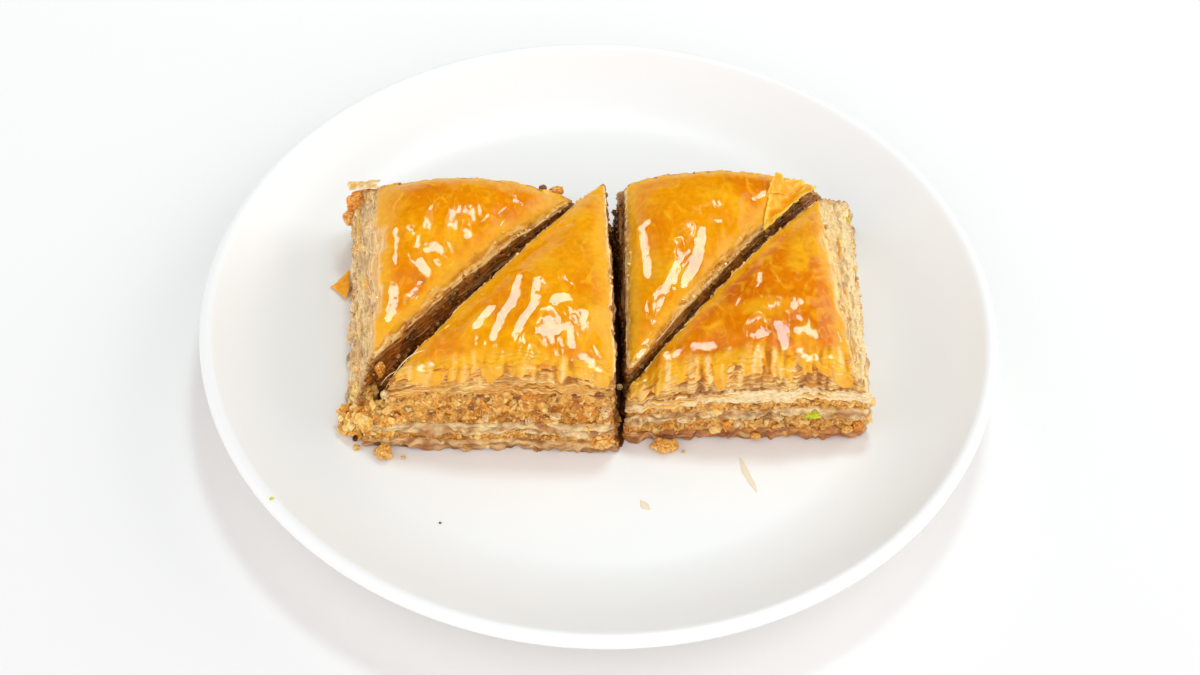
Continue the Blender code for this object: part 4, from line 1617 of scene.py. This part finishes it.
@dataclass(frozen=True)
class Scrap:
    """A loose piece of leaf from four corners, creased and ragged. Millimetres over the floor."""

    name: str
    corners: tuple[Triple, ...]
    slot: str
    node: str | None
    colours: tuple[str, str]
    carrier: Triangle | None = None
    thickness: float = 0.3
    crease: float = 0.5
    ragged: float = 0.9
    steps: int = 44
    seed: int = 1

    def build(self, finish: Finish) -> None:
        """Folds the piece and lays it in its place."""
        n = self.steps
        u, v = (axis.ravel() for axis in np.meshgrid(np.linspace(0, 1, n), np.linspace(0, 1, n)))
        a, b, c, d = (np.array(corner) for corner in self.corners)
        flat = ((1 - u) * (1 - v))[:, None] * a + (u * (1 - v))[:, None] * b + (u * v)[:, None] * c
        flat = flat + ((1 - u) * v)[:, None] * d
        border = np.minimum(np.minimum(u, 1 - u), np.minimum(v, 1 - v))
        tear = field_at(flat[:, :2], 2.2, 0.0, self.seed)
        tear = tear + 0.5 * field_at(flat[:, :2], 0.9, 0.0, self.seed + 1)
        pull = self.ragged * np.clip(tear + 0.25, 0, 1) * (1 - ease(border, 0.0, 0.2))
        middle = flat.mean(axis=0)
        flat[:, :2] += unit(middle[:2] - flat[:, :2], TINY) * pull[:, None]
        crumple = ridged(1.6 * field_at(flat[:, :2], 3.2, 0.0, self.seed + 2)) - 0.4
        crumple = crumple + 0.5 * field_at(flat[:, :2], 1.5, 0.0, self.seed + 3)
        flat[:, 2] += self.crease * crumple
        if self.carrier is not None:
            flat[:, 2] += self.carrier.crust_top(np.clip(self.carrier.weights_at(flat[:, :2]), 0, 1)) - FLOOR
        grid = flat.reshape(n, n, 3)
        normal = unit(np.cross(np.gradient(grid, axis=1), np.gradient(grid, axis=0)), TINY)
        thin = self.thickness * (0.35 + 0.65 * ease(border, 0.0, 0.12)).reshape(n, n, 1) / 2
        sheets = np.vstack([(grid + normal * thin).reshape(-1, 3), (grid - normal * thin).reshape(-1, 3)])
        sheets[:, 2] += FLOOR
        pale, deep = linears(*self.colours)
        # Pale at the torn border; paler on the crumple's ridges than in its hollows, which is painted light
        # and shade.
        shade = mix(deep, pale, ease(crumple + (1 - ease(border, 0.0, 0.15)), 0.0, 1.1))
        made = make_mesh(self.name, sheets, sheet_faces(n, n), np.vstack([shade, shade]))
        dress(made, finish, self.slot, *([self.node] if self.node else []))


@dataclass(frozen=True)
class Strand:
    """A hair-thin thread of pastry through three points. Millimetres over the floor."""

    points: tuple[Triple, ...]
    radius: float = 0.16
    steps: int = 22
    sides: int = 6

    def shape(self) -> Shape:
        """The strand's points, faces and tones."""
        a, b, c = (np.array(point) + np.array([0, 0, FLOOR]) for point in self.points)
        t = np.linspace(0, 1, self.steps)[:, None]
        path = (1 - t) ** 2 * a + 2 * t * (1 - t) * b + t**2 * c
        along = unit(np.gradient(path, axis=0))
        side = unit(np.cross(along, (0.0, 0.0, 1.0)), TINY)
        up = np.cross(side, along)
        turn = np.linspace(0, 2 * math.pi, self.sides, endpoint=False)
        width = self.radius * np.sqrt(np.sin(np.linspace(0.1, math.pi - 0.1, self.steps)))
        circle = side[:, None] * np.cos(turn)[None, :, None] + up[:, None] * np.sin(turn)[None, :, None]
        points, groups = ring_solid(path[:, None] + circle * width[:, None, None], path[0], path[-1])
        return points, groups, np.tile(linear("F2D6A0"), (len(points), 1))


@dataclass(frozen=True)
class Pool:
    """Syrup that has gathered between two pieces, along a line over the plate; in the gaps its dark finish is
    painted shade. Millimetres.
    """

    name: str
    line: tuple[Triple, ...]
    depth: float = 0.45
    finish: Finish = GAP_SHADE_SYRUP
    rows: int = 120
    width: int = 13

    def build(self, slot: str) -> None:
        """Lays the syrup on the plate. Each place of the line is x, y and the half width there."""
        stops = np.array(self.line)
        t = np.linspace(0, len(stops) - 1, self.rows)
        x, y, half = (np.interp(t, np.arange(len(stops)), stops[:, k]) for k in range(3))
        middle = np.column_stack([x, y])
        side = unit(outward(np.gradient(middle, axis=0)))
        blunt = np.sqrt(np.sin(np.linspace(0.03, math.pi - 0.03, self.rows)))
        half = half * (1 + 0.3 * field_at(middle, 4.0, 0.0, 7)) * blunt
        across = np.linspace(-1, 1, self.width)
        plan = middle[:, None] + side[:, None] * (across * half[:, None])[:, :, None]
        flat = plan.reshape(-1, 2)
        low = FLOOR + PLATE.rise(flat)
        lens = self.depth * (1 - np.tile(across, self.rows) ** 2) ** 0.5
        lens = lens * (1 + 0.3 * field_at(flat, 3.0, 0.0, 8))
        upper, lower = np.column_stack([flat, low + 0.04 + lens]), np.column_stack([flat, low + 0.01])
        made = make_mesh(self.name, np.vstack([upper, lower]), sheet_faces(self.rows, self.width))
        dress(made, self.finish, slot)


@dataclass
class Trimmings:
    """Everything loose: nuts that stick in the cut faces, bits on the plate, scraps and threads of leaf."""

    crumbs: CrumbScatter
    front_left: tuple[Nut, ...] = (
        Nut((2.0, -37.2, 3.3), (3.6, 2.5, 3.0), GOLDEN, 20, 1.3),
        Nut((-15.6, -37.8, 9.8), (1.4, 1.2, 1.6), CREAM, 30),
        Nut((-50.1, -36.2, 15.6), (1.4, 1.1, 1.3), CREAM), Nut((0.6, -36.0, 19.2), (1.6, 1.0, 0.8), SKINNED),
        Nut((-4.6, -36.4, 18.7), (1.3, 0.9, 0.7), SKINNED, 25),
        Nut((2.4, -36.8, 13.4), (1.5, 1.3, 1.9), CREAM, 40),
        Nut((-1.6, -37.2, 15.4), (1.5, 1.0, 1.2), GOLDEN),
        Nut((-37.0, -38.4, 12.2), (1.3, 1.0, 1.1), GOLDEN, 50),
        Nut((-46.5, -38.6, 9.4), (1.8, 1.1, 1.5), GOLDEN, 15),
        Nut((-26.0, -38.2, 11.6), (1.5, 1.0, 1.2), CREAM, 70),
        Nut((-9.5, -38.0, 12.4), (1.7, 1.0, 1.1), CREAM, 10),
    )
    back_left: tuple[Nut, ...] = (
        Nut((-52.3, -27.6, 14.6), (1.5, 1.6, 2.4), ORANGE, 20),
        Nut((-64.6, 26.0, 17.2), (2.8, 2.6, 3.2), ORANGE, 10, 0.7),
        Nut((-66.2, 23.6, 13.8), (1.9, 1.9, 2.4), GOLDEN, 40, 0.7),
        Nut((-16.2, 30.6, 20.6), (1.2, 1.0, 1.2), SKINNED),
        Nut((-12.6, 30.3, 20.2), (2.1, 1.1, 1.4), GOLDEN, 10),
    )
    front_right: tuple[Nut, ...] = (
        Nut((32.1, -33.2, 5.5), (1.3, 0.9, 1.7), ORANGE, 10),
        Nut((22.0, -33.2, 7.3), (2.7, 1.0, 1.2), CREAM, 5),
        Nut((25.0, -31.9, 12.4), (1.3, 0.9, 0.9), GOLDEN), Nut((44.3, -32.0, 7.9), (1.4, 0.9, 1.1), CREAM),
        Nut((34.6, -32.6, 5.6), (1.2, 0.9, 1.3), CREAM, 30),
        Nut((39.4, -33.4, 2.0), (1.4, 0.9, 0.9), GOLDEN),
        Nut((64.6, -29.9, 4.0), (1.9, 1.4, 1.9), ORANGE, 20),
        Nut((61.8, -31.0, 3.2), (1.6, 1.1, 1.3), GOLDEN), Nut((66.0, -28.0, 7.0), (1.1, 1.4, 1.4), GOLDEN),
    )
    pistachios: tuple[Nut, ...] = (
        Nut((52.6, -31.6, 8.8), (2.3, 0.8, 1.0), PISTACHIO, 3, 0.8),
        Nut((63.6, 27.4, 17.2), (0.6, 0.8, 0.5), PISTACHIO),
        Nut((-72.9, -65.7, 12.9), (0.6, 0.5, 0.35), PISTACHIO),
    )
    plate: tuple[Nut, ...] = (
        Nut((1.5, 26.1, 10.0), (0.8, 0.8, 0.8), GOLDEN), Nut((5.6, -27.5, 11.6), (0.9, 0.8, 0.8), CREAM),
        Nut((-35.4, -61.6, 0.15), (0.35, 0.3, 0.2), SKINNED),
        Nut((-57.6, -40.8, 0.5), (0.9, 0.8, 0.6), GOLDEN), Nut((-46.0, -43.2, 0.4), (0.6, 0.5, 0.45), CREAM),
        Nut((21.8, -37.8, 0.3), (0.5, 0.4, 0.35), CREAM),
    )
    loose_left: tuple[Nut, ...] = (
        Nut((-50.6, -42.9, 1.9), (2.1, 1.6, 2.0), GOLDEN, 20, 1.4),
        Nut((-52.2, -42.2, 1.0), (1.3, 1.1, 1.1), CREAM, 0, 1.2),
    )
    loose_right: tuple[Nut, ...] = (
        Nut((16.6, -37.3, 1.8), (2.5, 1.8, 1.9), GOLDEN, -10, 1.4),
        Nut((19.2, -37.0, 1.4), (1.5, 1.4, 1.5), GOLDEN, 30, 1.3),
        Nut((14.4, -36.8, 1.0), (1.1, 1.0, 1.0), CREAM, 30, 1.2),
    )
    lumps: tuple[Nut, ...] = (
        Nut((-55.4, -34.8, 3.0), (5.0, 3.6, 5.4), GOLDEN, -25, 0.8),
        Nut((-50.8, -36.4, 5.4), (3.8, 2.8, 6.0), GOLDEN, -20, 0.8),
        Nut((-59.2, -33.8, 2.2), (3.2, 3.6, 4.0), GOLDEN, 0, 0.8),
        Nut((-56.4, -29.6, 7.0), (2.4, 3.0, 3.4), GOLDEN, 0, 0.8),
    )
    threads: tuple[Strand, ...] = (
        Strand(((-39.6, -28.4, 23.4), (-45.4, -28.6, 24.0), (-49.4, -33.6, 16.6))),
        Strand(((-41.4, -34.0, 23.0), (-47.0, -31.0, 22.4), (-50.4, -33.8, 14.8))),
        Strand(((-44.0, -33.2, 20.0), (-49.0, -30.2, 19.5), (-51.8, -32.2, 14.0)), 0.13),
        Strand(((-30.5, -19.5, 22.8), (-35.0, -16.8, 21.5), (-37.5, -15.5, 16.0)), 0.12),
    )
    # The dark pools in the gaps are painted shade; the two smears are thin syrup.
    pools: tuple[Pool, ...] = (
        Pool(
            "syrup_in_the_middle", ((6.4, -37.0, 1.8), (6.2, -28.0, 2.6), (3.6, 5.0, 3.2), (1.8, 38.0, 2.2)),
        ),
        Pool(
            "syrup_in_the_left_cut",
            ((-58.6, -38.6, 2.0), (-56.0, -34.0, 3.2), (-28.0, 2.0, 3.4), (-2.6, 34.0, 2.4)),
        ),
        Pool(
            "syrup_in_the_right_cut",
            ((7.4, -32.0, 2.0), (12.0, -26.0, 3.0), (38.0, 7.0, 3.4), (64.4, 40.4, 2.2)),
        ),
        Pool(
            "syrup_smear_right", ((35.6, -38.8, 0.5), (36.8, -43.0, 0.9), (39.5, -48.8, 0.6)), 0.06, SMEAR,
            40, 7,
        ),
        Pool(
            "syrup_smear_middle", ((11.5, -52.6, 0.4), (12.6, -54.2, 0.9), (13.9, -55.3, 0.5)), 0.06, SMEAR,
            30, 7,
        ),
    )

    def pieces(self, name: str, nuts: Sequence[Nut], *nodes: str) -> None:
        """Makes one piece of several nuts."""
        seed = sum(ord(letter) for letter in name)
        points, groups, tones = join([nut.shape(seed + 10 * k) for k, nut in enumerate(nuts)])
        dress(make_mesh(name, points, groups, tones), WALNUT, "walnut_kernel", *nodes)

    def heap(self) -> None:
        """The heap of crumbs at the mouth of the long cut."""
        points, groups, tones = join([lump.shape(90 + k) for k, lump in enumerate(self.lumps)])
        points[:, 2] = np.maximum(points[:, 2], FLOOR + 0.06)
        sticky = np.tile([1.0, 0.12], (len(points), 1))
        made = make_mesh("crumb_heap", points, groups, tones * 0.75, sticky)
        dress(made, WALNUT_BED, "walnut_filling")
        light = ("FFE496", "FABE50", "D88A30")
        chips = self.crumbs.over(made, "crumb_heap_chips", (0.45, 2.0), 1.5, light, 17, 0.97)
        places = np.zeros(3 * len(chips.data.vertices), np.float32)
        chips.data.vertices.foreach_get("co", places)
        places[2::3] = np.maximum(places[2::3], (FLOOR + 0.03) * MM)
        chips.data.vertices.foreach_set("co", places)
        dress(chips, WALNUT, "walnut_filling")

    def scraps(self) -> None:
        """The pale leaf at the back right, the flap at the back left and the flake on the plate."""
        over = ((40.4, 15.6, 0.5), (55.6, 33.4, 0.7), (51.6, 37.4, 0.6), (42.4, 32.4, 1.2))
        tip = ((41.6, 27.0, 1.2), (46.8, 29.2, 1.6), (45.4, 31.6, 5.2), (43.6, 31.0, 5.6))
        flap = ((-67.0, 28.0, 19.6), (-58.8, 26.4, 21.9), (-58.4, 31.0, 21.0), (-67.4, 31.6, 19.2))
        flake = ((-70.9, 11.2, 0.35), (-66.0, 6.6, 1.0), (-65.4, 10.2, 2.4), (-65.8, 15.2, 3.2))
        pale, crust, carrier = ("pale_leaf", "torn_leaf"), "glazed_crust", TRIANGLES[-1]
        gold, yellow, cream, amber = (
            ("F8CC50", "F0A414"), ("F8CC50", "F0AA28"), ("FBE2AE", "E8B462"), ("FAB430", "F09A14"),
        )
        Scrap("torn_pale_leaf", over, *pale, gold, carrier, 0.35, 0.6, 1.1, seed=31).build(GLAZE)
        Scrap("torn_leaf_tip", tip, *pale, yellow, carrier, 0.25, 0.2, 0.4, 24, 35).build(GLAZE)
        Scrap("corner_flap", flap, crust, None, cream, None, 0.3, 0.35, 0.9, 30, 41).build(BAKED_LEAF)
        Scrap("amber_flake", flake, crust, "stray_flake", amber, None, 0.5, 0.25, 0.5, 26, 51).build(GLAZE)

    def build(self) -> None:
        """Makes every loose piece."""
        self.pieces("front_left_kernels", self.front_left)
        self.pieces("back_left_kernels", self.back_left)
        self.pieces("front_right_kernels", self.front_right)
        self.pieces("pistachio_pieces", self.pistachios)
        self.pieces("stray_crumbs", self.plate)
        self.pieces("loose_walnut_left", self.loose_left, "walnut_bit_left")
        self.pieces("loose_walnut_right", self.loose_right, "walnut_bit_right")
        points, groups, tones = join([thread.shape() for thread in self.threads])
        dress(make_mesh("pastry_threads", points, groups, tones), BAKED_LEAF, "glazed_crust")
        for pool in self.pools:
            pool.build("soaked_pastry")
        self.heap()
        self.scraps()


STUDIO = Studio()
PLATE = Plate()
TRIANGLES = (
    Triangle(
        name="front_left", base=((5.6, -38.8), (0.6, 35.0), (-57.5, -40.4)),
        shoulder=((4.4, -36.6, 19.5), (0.1, 33.5, 18.0), (-50.5, -37.0, 15.5)),
        crust=((4.0, -35.0, 24.0), (-0.4, 32.8, 22.0), (-49.1, -34.9, 20.0)), arches=(3.0, 3.0, 4.5),
        shares=(0.17, 0.27, 0.47), seed=101, ripples=(0.1, 0.65, 0.12), toothed=0.75, wet_and_gap_shade=(0.9, 0.0, 1.3),
        palette=Palette(glaze=("EE9C04", "E28404")), roll=4.4, hang=0.6,
        glints=(
            ((-19.8, -9.9, 1.0), (-20.6, -16.3, 1.3), (-23.2, -21.5, 1.4), (-24.9, -27.9, 1.0)),
            (
                (-15.2, -10.1, 0.7), (-16.2, -14.2, 0.9), (-15.5, -17.8, 1.2), (-18.1, -22.6, 1.2),
                (-19.9, -27.5, 0.9),
            ),
            ((-10.6, -16.6, 1.7), (-8.5, -15.3, 1.7)), ((-29.1, -24.5, 1.2), (-25.9, -19.4, 1.4)),
            ((-13.0, -25.2, 1.4), (-10.2, -24.5, 1.7)), ((-7.4, -23.5, 0.7), (-6.2, -28.5, 1.2)),
            ((-3.8, -19.2, 1.0), (-3.9, -22.1, 1.0)),
            ((-3.8, -30.4, 0.7), (-1.3, -32.4, 1.2), (0.6, -33.9, 0.9)),
            ((-14.0, -19.9, 0.6), (-12.1, -18.9, 0.7)), ((-42.4, -34.3, 0.7), (-39.0, -32.4, 0.9)),
            ((-10.7, -29.0, 0.4), (-9.8, -32.0, 0.4)), ((-14.6, -29.7, 0.4), (-15.2, -32.9, 0.3)),
            ((-40.0, -25.9, 0.1), (-35.7, -21.7, 0.25), (-31.2, -18.0, 0.1)),
            ((-30.5, -27.0, 0.3), (-29.2, -25.2, 0.1)), ((-18.7, 5.8, 0.1), (-15.6, 6.4, 0.4)),
            ((-14.4, 10.5, 0.1), (-8.4, 13.1, 0.3)), ((-20.1, -25.4, 0.1), (-19.7, -28.7, 0.3)),
            ((-17.9, -26.2, 0.25), (-17.5, -28.9, 0.4)), ((-1.2, -27.6, 0.4), (0.8, -30.6, 0.7)),
            ((-11.3, -26.9, 0.4), (-10.4, -28.5, 0.5)), ((-5.9, -20.6, 0.4), (-5.4, -22.2, 0.3)),
            ((-8.9, -27.4, 0.3), (-8.3, -29.4, 0.35)), ((-30.6, -25.9, 0.2), (-28.6, -27.8, 0.3)),
        ),
    ),
    Triangle(
        name="back_left", base=((-66.8, 32.5), (-60.3, -37.5), (-6.0, 31.8)),
        shoulder=((-66.0, 30.3, 16.5), (-57.0, -33.5, 11.0), (-7.2, 29.6, 15.0)),
        crust=((-59.2, 26.5, 22.0), (-54.8, -27.2, 18.0), (-8.0, 27.8, 20.0)), arches=(2.8, 3.0, 6.0),
        shares=(0.18, 0.48, 0.70), seed=202, ripples=(0.12, 0.2, 0.15), crumbed=(0.6, 0.2, 0.22),
        wet_and_gap_shade=(1.0, 0.0, 0.0), faded=(0.0, 0.2, 0.9), margins=(4.2, 2.4, 6.0),
        palette=Palette(wall="E4C694", rim="F6D094"),
        glints=(
            ((-43.5, 1.3, 0.7), (-40.9, 2.8, 1.2), (-39.5, 0.5, 0.4)),
            ((-44.5, -1.0, 0.6), (-43.6, -3.7, 1.6), (-42.2, -6.0, 0.7)),
            ((-44.3, -6.6, 0.4), (-46.4, -10.9, 0.6)), ((-46.8, -11.7, 0.4), (-48.9, -16.2, 0.3)),
            ((-49.1, -16.7, 0.3), (-51.3, -21.6, 0.3)),
            ((-50.5, -8.7, 1.4), (-50.5, -13.6, 1.6), (-51.3, -18.6, 0.9)),
            ((-48.6, 7.4, 0.6), (-47.2, 5.9, 0.7)), ((-45.8, 4.9, 0.7), (-45.8, 2.2, 0.6)),
            ((-51.6, 6.9, 0.6), (-50.6, -2.4, 0.9)), ((-34.4, 7.8, 0.6), (-33.3, 6.6, 0.9)),
            ((-38.6, 4.4, 0.3), (-36.6, 1.1, 0.3)), ((-40.8, -1.3, 0.6), (-40.0, -2.5, 0.7)),
            ((-36.3, 0.3, 0.3), (-37.2, -2.0, 0.4)), ((-22.7, 20.2, 0.6), (-20.9, 19.2, 0.7)),
            ((-26.9, 14.9, 0.3), (-24.6, 17.1, 0.3)), ((-26.0, 11.4, 0.3), (-25.1, 13.4, 0.3)),
            ((-31.0, 11.0, 0.35), (-29.1, 13.0, 0.3)), ((-30.3, 9.1, 0.3), (-30.0, 8.4, 0.2)),
            ((-32.1, 8.4, 0.25), (-31.6, 8.0, 0.2)), ((-33.5, 5.8, 0.35), (-33.0, 5.2, 0.2)),
            ((-25.3, 15.7, 0.15), (-25.0, 13.9, 0.15)),
        ),
    ),
    Triangle(
        name="front_right", base=((67.5, -30.4), (67.8, 39.6), (6.1, -35.0)),
        shoulder=((66.2, -30.3, 13.0), (64.6, 37.3, 13.5), (6.5, -34.2, 9.5)),
        crust=((61.8, -28.0, 20.0), (55.8, 30.2, 22.2), (6.9, -31.8, 14.2)), arches=(2.0, 5.0, 6.5),
        shares=(0.26, 0.55, 0.80), seed=303, ripples=(0.1, 1.1, 0.25), crumbed=(0.4, 0.05, 0.18),
        wet_and_gap_shade=(1.0, 0.0, 0.0), faded=(0.0, 0.1, 0.8), margins=(3.4, 1.2, 1.2),
        palette=Palette(wall="F6D498", foot=("D68622", "A4560C"), glaze=("DE7A00", "CE6600"), rim="F8D288"),
        roll=6.5, toothed=0.9, soft_foot=0.38, leaves=14,
        glints=(
            ((38.8, -3.4, 0.9), (38.2, -7.0, 0.6)), ((46.7, -12.6, 0.9), (48.7, -11.5, 0.7)),
            ((42.7, -17.7, 0.9), (43.8, -21.6, 1.6), (44.1, -25.0, 0.9)),
            ((36.7, -21.9, 0.9), (39.8, -21.1, 1.2)),
            ((47.2, -19.4, 0.9), (49.9, -19.0, 1.2), (52.1, -21.0, 0.9)),
            ((47.7, -23.9, 0.7), (49.4, -26.4, 1.2), (55.5, -25.8, 0.7)),
            ((22.8, -23.0, 1.2), (27.5, -22.6, 1.2)),
            ((20.7, -23.1, 0.6), (19.1, -24.6, 0.9), (16.3, -25.8, 1.4)),
            ((9.2, -29.9, 0.6), (11.7, -28.9, 0.6)), ((37.6, -24.9, 0.3), (37.9, -27.2, 0.3)),
            ((57.4, -17.1, 0.4), (58.5, -20.4, 0.6)), ((31.3, -24.0, 0.3), (30.6, -26.2, 0.3)),
        ),
    ),
    Triangle(
        name="back_right", base=((3.0, 38.5), (7.4, -28.5), (61.0, 40.3)),
        shoulder=((3.2, 35.5, 14.5), (7.2, -28.1, 12.5), (57.5, 38.6, 14.5)),
        crust=((5.5, 33.8, 20.5), (7.2, -27.6, 17.5), (53.0, 36.6, 20.5)), arches=(1.5, 2.2, 5.0),
        shares=(0.18, 0.50, 0.74), seed=404, ripples=(0.12, 0.2, 0.15), crumbed=(0.6, 0.2, 0.6),
        wet_and_gap_shade=(0.9, 0.0, 1.0), margins=(1.6, 1.9, 3.5),
        glints=(
            ((11.5, 15.8, 0.9), (9.6, 13.3, 1.2), (10.9, 6.5, 1.4), (11.3, 0.4, 1.4)),
            ((25.0, 12.6, 1.2), (24.3, 7.1, 1.7), (22.6, 1.4, 1.7), (20.5, -3.5, 1.2)),
            ((21.8, 6.6, 0.4), (17.9, 0.9, 0.6)), ((17.4, 0.2, 0.6), (15.5, -6.0, 1.0)),
            ((15.1, -7.4, 0.6), (13.3, -14.5, 0.6)), ((12.8, -16.5, 0.5), (8.7, -25.4, 0.7)),
            ((28.3, 17.0, 0.3), (31.4, 16.4, 0.3), (34.1, 14.7, 0.3)),
            ((38.2, 25.4, 0.7), (41.2, 26.9, 0.9)), ((11.7, -8.5, 0.3), (11.2, -11.1, 0.6)),
            ((36.7, 17.8, 0.3), (36.0, 15.5, 0.3)),
        ),
    ),
)


def main() -> None:
    """Builds every piece in order."""
    logging.basicConfig(level=logging.INFO, format="%(name)s: %(message)s")
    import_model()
    PLATE.build()
    crumbs = CrumbScatter()
    for triangle in TRIANGLES:
        Dresser(triangle, crumbs).build()
    Trimmings(crumbs).build()
    crumbs.clear()
    STUDIO.build()


if __name__ == "__main__":
    main()
